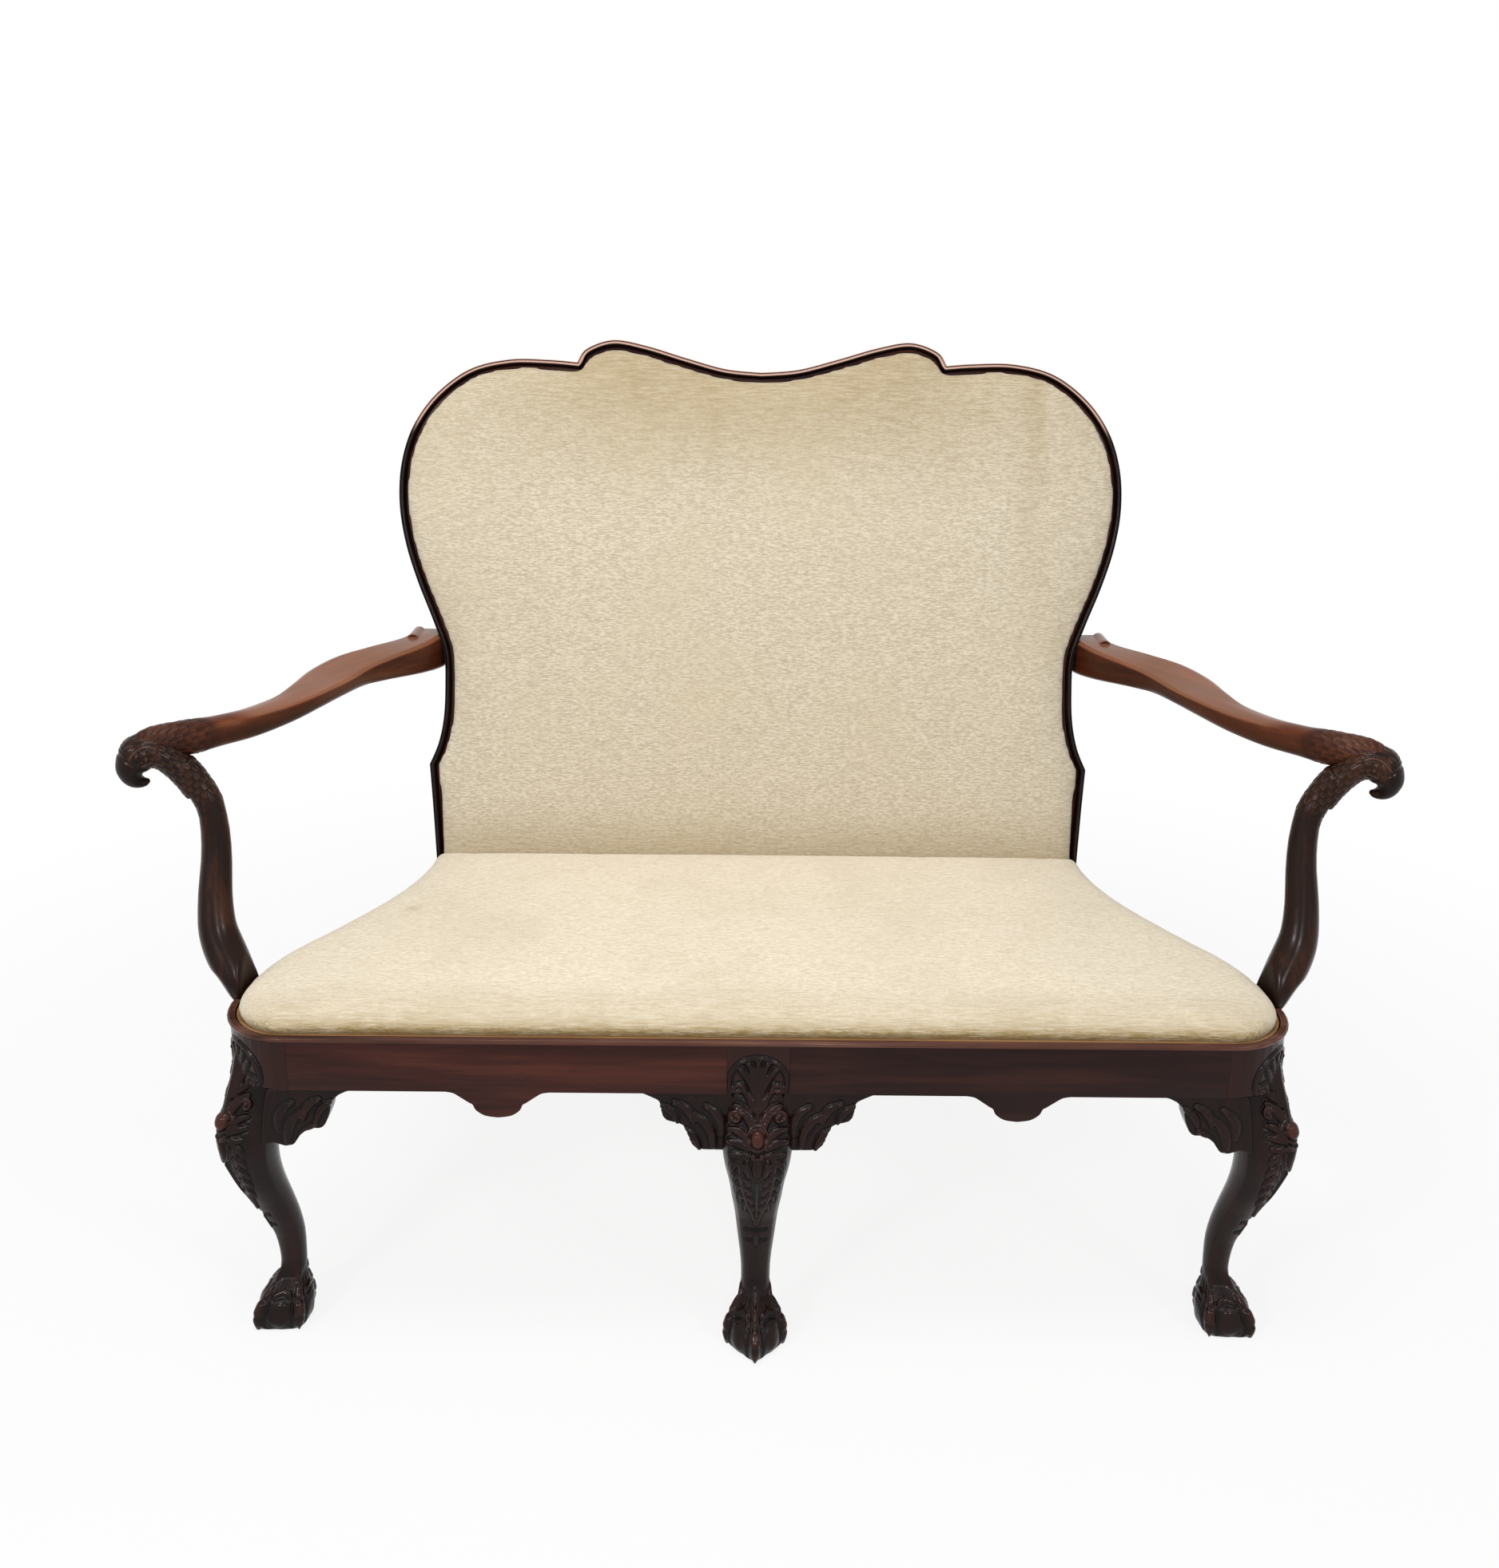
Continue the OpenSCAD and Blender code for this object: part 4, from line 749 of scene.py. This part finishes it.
# Arms
armLook = {
    "width": 54, "height": 51, "rear": (472.0, 611.9), "front": (700.0, 175.0), "z": 720, "drop": 16,
    "sides": 32, "voxel": 1.3 * mm,
    # across, forward, drop, half width, half height, squareness above and below, inward tilt in degrees
    "rows": [
        (-0.018, -0.019, 0, 0.9, 1.0, 0.95, 0.85, 0), (0.0, 0.048, 0, 0.9, 1.0, 0.95, 0.7, 0),
        (0.072, 0.135, 0, 0.9, 0.9, 0.95, 0.5, 4), (0.215, 0.241, -0.06, 0.95, 0.76, 0.95, 0.35, 10),
        (0.344, 0.333, 0, 1.02, 0.63, 0.95, 0.25, 14), (0.43, 0.459, 0.15, 1.02, 0.55, 0.9, 0.2, 15),
        (0.483, 0.579, 0.28, 0.88, 0.55, 0.75, 0.2, 13), (0.555, 0.695, 0.5, 0.74, 0.6, 0.5, 0.15, 9),
        (0.671, 0.811, 0.62, 0.68, 0.68, 0.35, 0.1, 5), (0.796, 0.893, 0.62, 0.65, 0.73, 0.25, 0.1, 0),
        (0.895, 0.951, 0.6, 0.64, 0.78, 0.2, 0.1, 0), (1.0, 1.0, 0.6, 0.6, 0.8, 0.15, 0.1, 0),
        (1.07, 1.03, 0.62, 0.54, 0.76, 0.1, 0.1, 0), (1.12, 1.045, 0.68, 0.42, 0.6, 0.1, 0.1, 0)],
    "scroll": (0.487, 0.592, 0.7405), "scrollRadius": 0.009, "scrollLong": 0.05,
    # the front end's axis, and how far in mm from it the feathers end and the top's painted sheen begins
    "axis": 0.706, "plumes": (27, 57), "topSheen": (30, 110), "firstRow": 60,
}


def squarePoint(angle, squareness):
    c, s = cos(angle), sin(angle)
    grow = 1 + (1 / max(abs(c), abs(s)) - 1) * squareness
    return c * grow, s * grow


def armRings(side):
    look = armLook
    rows, rear, front = spline(look["rows"], 5), np.array(look["rear"]), np.array(look["front"])
    middle = [np.array([*(rear + (front - rear) * r[:2]), look["z"] - r[2] * look["drop"]]) for r in rows]
    rings = []
    for i, row in enumerate(rows):
        run = middle[min(i + 1, len(rows) - 1)] - middle[max(i - 1, 0)]
        across = np.array([-run[1], run[0], 0]) / np.hypot(run[0], run[1])
        tilt = radians(row[7])
        ring = []
        for j in range(look["sides"]):
            angle = 2 * pi * (j + 0.5) / look["sides"]
            px, pz = squarePoint(angle, row[5] if sin(angle) > 0 else row[6])
            wide, high = px * look["width"] / 2 * row[3], pz * look["height"] / 2 * row[4]
            p = middle[i] + across * (wide * cos(tilt) - high * sin(tilt))
            z = p[2] + wide * sin(tilt) + high * cos(tilt)
            ring.append((side * p[0] * mm, faceY + p[1] * mm, z * mm))
        rings.append(ring)
    return rings


backRake = radians(10)
seatLine = 0.437
seatDepth = 0.53


def onBack(x, up, out):
    # a point on the raked plane of the back: across, up along it and forward of its face, in metres
    return (x, faceY + seatDepth + up * sin(backRake) - out * cos(backRake),
            seatLine + up * cos(backRake) + out * sin(backRake))


def arm(side, name, node):
    look = armLook
    piece = sweep(name, armRings(side))
    # the small scroll on the outer side of the rear joint
    sx, sy, sz = look["scroll"]
    bpy.ops.mesh.primitive_cylinder_add(
        vertices=24, radius=look["scrollRadius"], depth=look["scrollLong"],
        location=(side * sx, faceY + sy, sz), rotation=(radians(90), 0, 0))
    bpy.ops.object.transform_apply()
    joinInto(piece, bpy.context.object)
    remesh(piece, look["voxel"])
    ease(piece, 3)
    # feathers of the eagle run on over the front end
    co, out = points(piece), normals(piece)
    tip, rear = (np.array([side * look[end][0] * mm, faceY + look[end][1] * mm, look["axis"]])
                 for end in ("front", "rear"))
    way = (rear - tip) / norm(rear - tip)
    along = (co - tip) @ way / mm
    angle = np.arctan2(co[:, 2] - look["axis"], (co - tip) @ np.cross(way, (0, 0, 1)))
    plumed = 1 - ramp(along, *look["plumes"])
    height = feathers(look["firstRow"] + along, angle) * plumed
    setPoints(piece, co + out * (height * mm)[:, None])
    # the top is painted pale as painted highlight and rubbed wear, the sides are painted dark as painted
    # shade, and the feathered end by the head is darker, with painted shade in its grooves
    topSheen = -0.3 + 2.9 * ramp(out[:, 2], 0.15, 0.75) * ramp(along, *look["topSheen"])
    markPaintedLightAndWear(piece, topSheen * (1 - plumed) + (height * 0.5 - 1.0) * plumed)
    enter(piece, armWoodLeft if side < 0 else armWoodRight, "frame", "arm_mahogany", node)


# Arm supports
supportLook = {
    "at": (617.3, 130.0), "turn": 20, "reach": 105, "rise": 290, "lean": 65, "neck": 33, "sides": 24,
    # the ring where the head begins, the rings it laps over the neck, and the face in mm along the support
    "voxel": 1.1 * mm, "headFrom": 60, "lap": 8, "eye": (332, 3), "brow": [(322, 8), (332, 9.5), (345, 7)],
    "beak": 349,
    # outward, up, back, half thickness in the plane of the curl and across it
    "rows": [
        (0.08, 0, 0.02, 1.22, 2.1), (0.14, 0.065, 0.06, 1.38, 2.2), (0.22, 0.133, 0.15, 1.5, 2.05),
        (0.285, 0.208, 0.26, 1.48, 1.75), (0.315, 0.283, 0.36, 1.36, 1.45), (0.295, 0.406, 0.49, 1.22, 1.15),
        (0.245, 0.536, 0.63, 1.1, 1.02), (0.225, 0.655, 0.76, 1.03, 0.98), (0.255, 0.768, 0.87, 0.97, 0.98),
        (0.36, 0.85, 0.95, 0.98, 1.04), (0.5, 0.925, 0.985, 1.0, 1.12), (0.66, 0.985, 1, 1.08, 1.22),
        (0.8, 1.005, 1, 1.28, 1.34), (0.92, 0.988, 1, 1.32, 1.36), (0.995, 0.945, 1, 1.12, 1.24),
        (1.0, 0.915, 1, 0.92, 1.02), (0.975, 0.893, 1, 0.72, 0.82), (0.93, 0.88, 1, 0.52, 0.6),
        (0.87, 0.876, 1, 0.34, 0.4), (0.82, 0.883, 1, 0.14, 0.18)],
}


def fromCurlPlane(side, out, back, up):
    # out, back and up in mm in the plane of the support's curl
    turn = radians(-supportLook["turn"])
    x = supportLook["at"][0] + out * cos(turn) - back * sin(turn)
    y = supportLook["at"][1] + out * sin(turn) + back * cos(turn)
    return np.array((side * x * mm, faceY + y * mm, railTop + 0.003 + up * mm))


def support(side, name, node):
    look = supportLook
    rows = [(r[0] * look["reach"], r[2] * look["lean"], r[1] * look["rise"], r[3], r[4])
            for r in spline(look["rows"], 6)]
    stop, rings = look["headFrom"], []
    for i in range(stop - look["lap"], len(rows)):
        row, before, after = rows[i], rows[i - 1], rows[min(i + 1, len(rows) - 1)]
        run = np.array([after[0] - before[0], after[2] - before[2]])
        run = run / norm(run)
        ring = []
        for j in range(look["sides"]):
            px, py = squarePoint(2 * pi * j / look["sides"], 0.15 if i < stop else 0)
            wide, deep = px * look["neck"] / 2 * row[3], py * look["neck"] / 2 * row[4]
            ring.append(fromCurlPlane(side, row[0] + run[1] * wide, row[1] + deep, row[2] - run[0] * wide))
        rings.append(ring)
    piece = copyNode(node, name)
    # the plain head goes, and the swept one grows out of the neck
    here, after = (fromCurlPlane(side, *rows[stop + k][:3]) for k in (0, 1))
    way = (after - here) / norm(after - here)
    inEdit(piece, lambda: bpy.ops.mesh.bisect(plane_co=here, plane_no=way, use_fill=True, clear_outer=True))
    joinInto(piece, sweep("supportHead", rings))
    remesh(piece, look["voxel"])
    above = points(piece)[:, 2] - railTop
    easeWhere(piece, 0.06 + 0.94 * ramp(above, 0.006, 0.03), 24)
    easeWhere(piece, ramp(above, 0.01, 0.035) * (1 - ramp(above, 0.1, 0.15)), 110)
    co, out = points(piece), normals(piece)
    line = np.array([fromCurlPlane(side, *row[:3]) for row in rows])
    steps = np.concatenate([[0], np.cumsum(norm(np.diff(line, axis=0), axis=1))]) / mm
    nearest = np.zeros(len(co), int)
    best = np.full(len(co), 9.0)
    for k, place in enumerate(line):
        away = norm(co - place, axis=1)
        closer = away < best
        best[closer], nearest[closer] = away[closer], k
    inner = np.clip(nearest, 1, len(line) - 2)
    run = line[inner + 1] - line[inner - 1]
    run /= norm(run, axis=1)[:, None]
    offset = co - line[nearest]
    along = steps[nearest] + (offset * run).sum(1) / mm
    sideWay = fromCurlPlane(side, 0, 1, 0) - fromCurlPlane(side, 0, 0, 0)
    sideWay /= norm(sideWay)
    angle = np.arctan2((offset * np.cross(run, sideWay)).sum(1), (offset * sideWay).sum(1))
    first, crown = featherLook["from"], featherLook["to"]
    fade = ramp(along, first - 10, first + 14) * (1 - ramp(along, crown - 8, crown))
    height = feathers(crown - along, angle) * fade
    # eye and brow on both cheeks, and the beak's edge
    cheek = np.where(np.abs(angle) < pi / 2, angle, pi - np.abs(angle)) * 20
    face = relief(along, cheek, [dot(look["eye"], 3.4, 1.8), ridge(look["brow"], 2.2, 1.6)])
    edge = -np.clip(1 - ((along - look["beak"]) / 2.2) ** 2, 0, 1) ** 0.75
    height = np.where(face > 0.1, face, height) + edge
    setPoints(piece, co + out * (height * mm)[:, None])
    # painted highlight and rubbed wear on the feathers' crests, nearly black at the beak
    wear = np.where(height > 0.05, height * 1.9 - 0.6, 0.5)
    markPaintedLightAndWear(piece, np.where(along > crown + 4, -0.3, wear))
    enter(piece, supportWood, "frame", "arm_mahogany", node)


# length of a row, feathers in it, their height, and where they lie along the support, in mm
featherLook = {"long": 8.0, "count": 12, "high": 1.7, "from": 228.0, "to": 348.0}


def feathers(reach, angle):
    # staggered rows; reach runs from the crown down the neck, and each feather's round tip lies over the next
    look = featherLook
    row = np.floor(reach / look["long"])
    height = np.zeros(len(reach))
    for older in (0, 1, 2):
        this = row - older
        t = (reach - this * look["long"]) / (look["long"] * 2.4)
        cell = angle / (2 * pi) * look["count"] + (this % 2) * 0.5
        x = (cell - np.round(cell)) * 2
        limit = np.sqrt(np.clip(1 - np.clip((t - 0.4) / 0.6, 0, 1) ** 2, 0, 1))
        cover = ramp(limit - np.abs(x), 0, 0.22) * (t >= 0) * (t < 1)
        lift = look["high"] * (0.25 + 0.75 * t) * (1 - 0.3 * x ** 2) - 0.45 * np.exp(-(x / 0.14) ** 2)
        height = height + (np.maximum(lift, 0) - height) * cover
    return height


arm(-1, "armLeft", "arm_left")
arm(1, "armRight", "arm_right")
print("arms made")
support(-1, "armSupportLeft", "arm_support_left")
support(1, "armSupportRight", "arm_support_right")
print("supports made")

# Back frame
backLook = {
    "width": 1.008, "height": 0.709, "beadWide": 0.009, "beadHigh": 0.009, "footShare": 0.914,
    "side": [(0.919, 0.03), (0.925, 0.11), (0.931, 0.178)],
    "shoulder": [
        (0.931, 0.178), (0.905, 0.22), (0.889, 0.27), (0.883, 0.33), (0.885, 0.4), (0.912, 0.46),
        (0.955, 0.54), (0.986, 0.615), (1.0, 0.69), (0.992, 0.765), (0.958, 0.835), (0.895, 0.895),
        (0.8, 0.943), (0.69, 0.962), (0.58, 0.962), (0.506, 0.958)],
    "hump": [(0.506, 0.958), (0.48, 0.983), (0.407, 1.0), (0.317, 0.99), (0.208, 0.968), (0.099, 0.948),
             (0, 0.942)],
    "bead": [(0, -0.3), (0, 0.45), (0.06, 0.62), (0.16, 0.62), (0.2, 0.42), (0.26, 0.42), (0.32, 0.78),
             (0.46, 1), (0.62, 1), (0.78, 0.82), (0.9, 0.5), (1, 0.3), (1, -0.3)],
}


def backOutline():
    # from the right foot of the stile over the crest and down the left
    wide, high = backLook["width"] / 2, backLook["height"] / cos(backRake)
    foot = (wide * backLook["footShare"], (railTop - 0.002 - seatLine) / cos(backRake))
    runs = [[foot]]
    for key, steps in (("side", 4), ("shoulder", 8), ("hump", 8)):
        run = [(p[0] * wide, p[1] * high) for p in spline(backLook[key], steps)]
        runs.append(run if key == "side" else run[1:])
    half = [np.array(p) for run in runs for p in run]
    return half + [p * (-1, 1) for p in half[-2::-1]]


outline = backOutline()


def bead():
    profile = [(inset(outline, share * backLook["beadWide"]), rise * backLook["beadHigh"])
               for share, rise in backLook["bead"]]
    rings = [[onBack(*line[i], rise) for line, rise in profile] for i in range(len(outline))]
    piece = sweep("backBead", rings)
    # the crest's upward faces get a pale painted highlight
    crestHighlight = ramp(points(piece)[:, 2], 1.0, 1.06) * ramp(normals(piece)[:, 2], -0.5, 0.2)
    markPaintedLightAndWear(piece, 0.2 + 4.4 * crestHighlight)
    enter(piece, beadWood, "frame", "arm_mahogany", "crest_bead", "stile_bead_left", "stile_bead_right",
          smooth=50)


bead()
for node in ("crest_rail", "rear_post_left", "rear_post_right"):
    dress(node, darkX if node == "crest_rail" else darkZ, 0.0015)
print("back frame made")


# Cushions, in metres: how far each may swell, how far the seat's cover is drawn down behind the lip and
# stands over it, how far the back's goes under the bead, and the height of its edge and crown
cushions = {"voxel": 6 * mm, "seatCap": 0.007, "backCap": 0.006, "tuck": 0.006, "overLip": 0.0035,
            "underBead": 0.0025, "edge": 0.024 * 0.42, "crown": 0.024, "lift": 0.0025}
clothSettings = {"quality": 4, "use_pressure": True, "uniform_pressure_force": 4.0, "tension_stiffness": 25,
                 "compression_stiffness": 25, "bending_stiffness": 1.5}


def crownedRings(loop, middle):
    # rings from the rim of a cushion to its crown: inset and height as shares of the edge, then smaller rings
    rim = [(0.16, 0), (0, 0.24), (0, 0.48), (0.12, 0.74), (0.36, 0.92), (0.7, 1)]
    tops = [(0.93, 0.24), (0.82, 0.5), (0.66, 0.74), (0.46, 0.91), (0.24, 0.98), (0.04, 1)]
    edge, crown, lift = cushions["edge"], cushions["crown"], cushions["lift"]
    rings = [[(*q, rise * edge + lift) for q in inset(loop, share * edge, True)] for share, rise in rim]
    inner = inset(loop, rim[-1][0] * edge, True)
    for share, rise in tops:
        rings.append([(middle[0] + (q[0] - middle[0]) * share, middle[1] + (q[1] - middle[1]) * share,
                       edge + (crown - edge) * rise + lift) for q in inner])
    return rings


def inflate(piece, cap, rounds=20):
    # swells the cover like stuffed cloth; no point moves further than cap
    start = points(piece)
    pick(piece)
    cloth = piece.modifiers.new("cloth", "CLOTH")
    for key, value in clothSettings.items():
        setattr(cloth.settings, key, value)
    cloth.settings.effector_weights.gravity = 0
    cloth.collision_settings.use_collision = False
    cloth.point_cache.frame_end = rounds
    for number in range(1, rounds + 1):
        scene.frame_set(number)
    bpy.ops.object.modifier_apply(modifier=cloth.name)
    scene.frame_set(1)
    shift = points(piece) - start
    length = norm(shift, axis=1)
    shift *= (np.minimum(length, cap) / np.maximum(length, 1e-9))[:, None]
    setPoints(piece, start + shift)


def seatFrontTone(finish):
    # darker and yellower along the front, most of all low on its edge
    y, z = finish.axis(1), finish.axis(2)
    front = 1 - finish.band(y, faceY + 0.012, faceY + 0.046)
    return front * (1 - finish.band(z, railTop + 0.006, railTop + 0.028)) * 0.6 + (
        1 - finish.band(y, faceY + 0.004, faceY + 0.095)) * 0.34


def backSoil(finish):
    # worn along the crest, a little along the seat, and streaked between
    x, z = finish.axis(0), finish.axis(2)
    top = finish.band(z, 0.9, 1.13) * 0.55
    foot = (1 - finish.band(z, 0.45, 0.53)) * 0.3
    streaks = finish.band(finish.noise(finish.place((9, 1, 1.6)), 1.0, 3), 0.5, 0.75)
    middle = 1 - finish.band(x * x, 0.02, 0.16) * 0.5
    return top * middle + foot + streaks * finish.band(z, 0.6, 1.1) * 0.3


# where the seat is marked, by stains and by the painted shade of dents: x, distance from the front, radius
# and share of the mark
seatMarks = [(0.308, 0.385, 0.013, 0.42), (0.279, 0.281, 0.013, 0.4), (-0.335, 0.249, 0.011, 0.36),
             (-0.45, 0.29, 0.012, 0.36), (-0.04, 0.471, 0.011, 0.34), (0.59, 0.022, 0.01, 0.85),
             (-0.026, 0.456, 0.0034, 0.9), (-0.114, 0.322, 0.003, 0.8), (-0.145, 0.258, 0.003, 0.8)]
seatStainsAndDentShade = [((x, faceY + back, 0.444 if back > 0.1 else 0.43), radius, share)
              for x, back, radius, share in seatMarks]
seatCloth = clothFinish("chenilleSeat", (220, 206, 180), (240, 229, 208), seatFrontTone, True, seatStainsAndDentShade)
backCloth = clothFinish("chenilleBack", (186, 174, 151), (216, 205, 184), backSoil)
jute = clothFinish("hessian", (150, 124, 86), (182, 156, 116))


def stuff(piece, cap, rounds):
    remesh(piece, cushions["voxel"])
    inflate(piece, cap)
    ease(piece, rounds)


def cover(piece, material, body, fill, *stands):
    modify(piece, "SUBSURF", levels=1, render_levels=1)
    enter(piece, material, body, "pale_chenille", *stands, smooth=180)
    print(piece.name, len(piece.data.polygons), "faces")


def seatCushion():
    piece = copyNode("seat_pad", "seatCushion")
    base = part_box("seat_pad")[0].z
    low = base - cushions["tuck"]
    # the cover is drawn down over the drop-in frame, behind the lip
    inEdit(piece, lambda: bpy.ops.transform.translate(value=(0, 0, -cushions["tuck"])),
           lambda co: co.z < base + mm)
    stuff(piece, cushions["seatCap"], 4)
    co, out = points(piece), normals(piece)
    level = np.hypot(out[:, 0], out[:, 1])
    rim = np.exp(-((co[:, 2] - base - 0.003) / 0.009) ** 2) * ramp(level, 0.3, 0.9)
    co[:, :2] += out[:, :2] / np.maximum(level, 0.05)[:, None] * (rim * cushions["overLip"])[:, None]
    co[:, 2] = np.maximum(co[:, 2], low)
    setPoints(piece, co)
    cover(piece, seatCloth, "drop_in_seat", 0.55, "seat_pad", "seat_hessian", "seat_webbing")


def backCushion():
    loop = inset(outline, backLook["beadWide"] - cushions["underBead"])
    left, right = loop[-1], loop[0]
    loop += [left + (right - left) * k / 24 for k in range(1, 24)]
    rings = crownedRings(loop, (0, backLook["height"] * 0.5))
    piece = sweep("backCushion", [[onBack(*p) for p in ring] for ring in rings])
    stuff(piece, cushions["backCap"], 10)
    cover(piece, backCloth, "frame", 0.5, "back_pad", "back_hessian", "back_webbing")


seatCushion()
backCushion()


# Linings
def lining(node, name, body, material, slotName):
    # one layer of cloth, tacked to the wood that carries it; both its sides are faces, so half is its area
    piece = copyNode(node, name)
    enter(piece, material, body, slotName, node, smooth=0)


lining("back_cloth", "backLining", "frame",
       backCloth, "pale_chenille")
lining("dust_cloth", "dustLining", "drop_in_seat",
       jute, "jute_cloth")


# Room and light
roomLook = {"floor": 9, "under": -0.0005, "fade": (0.8, 2.2), "sky": 0.38}


def room():
    bpy.ops.object.select_all(action="DESELECT")
    bpy.ops.mesh.primitive_circle_add(vertices=96, radius=roomLook["floor"], fill_type="NGON",
                                      location=(0, 0, roomLook["under"]))
    floor = bpy.context.object
    floor.name = "floor"
    bpy.ops.object.transform_apply()
    finish = Finish("paleFloor")
    speck = finish.noise(finish.place(60), 1.0, 3)
    tone = finish.mix(speck, (0.86, 0.86, 0.86), (0.9, 0.9, 0.9))
    plain = finish.node("BsdfDiffuse", {"Color": tone})
    white = finish.node("Emission", {"Color": (1, 1, 1), "Strength": 1.0})
    # the shadow stays near the settee and fades into the white
    near, far = roomLook["fade"]
    amount = finish.seenDirectly() * (0.86 + finish.band(finish.distance("LENGTH"), near, far) * 0.14)
    setFinish(floor, finish.output("Material", "MixShader", {0: amount, 1: plain, 2: white}))
    sky = Finish("studio", bpy.data.worlds)
    level = roomLook["sky"] + sky.seenDirectly() * (1 - roomLook["sky"])
    scene.world = sky.output("World", "Background", {"Color": (1, 1, 1), "Strength": level})


def lamp(name, at, towards, size, power):
    data = bpy.data.lights.new(name, "AREA")
    data.shape = "RECTANGLE"
    data.size, data.size_y = size
    data.energy = power
    piece = bpy.data.objects.new(name, data)
    scene.collection.objects.link(piece)
    way = Vector(towards) - Vector(at)
    piece.matrix_world = Matrix.Translation(at) @ way.to_track_quat("-Z", "Y").to_matrix().to_4x4()


# where each lamp stands, what it points at, its size and its power
lamps = {
    "overhead": ((-0.3, -0.7, 3.0), (0, 0.1, 0.5), (1.4, 1.0), 34),
    "frontLeft": ((-1.9, -2.9, 2.2), (0, 0, 0.5), (0.5, 0.5), 38),
    "frontRight": ((2.1, -2.6, 2.0), (0, 0, 0.5), (0.4, 0.4), 16),
    "overCamera": ((0.25, -2.7, 1.7), (0, 0, 0.45), (0.2, 0.2), 11),
}
room()
for name, facts in lamps.items():
    lamp(name, *facts)
scene.view_settings.view_transform = "Standard"
print("room lit")
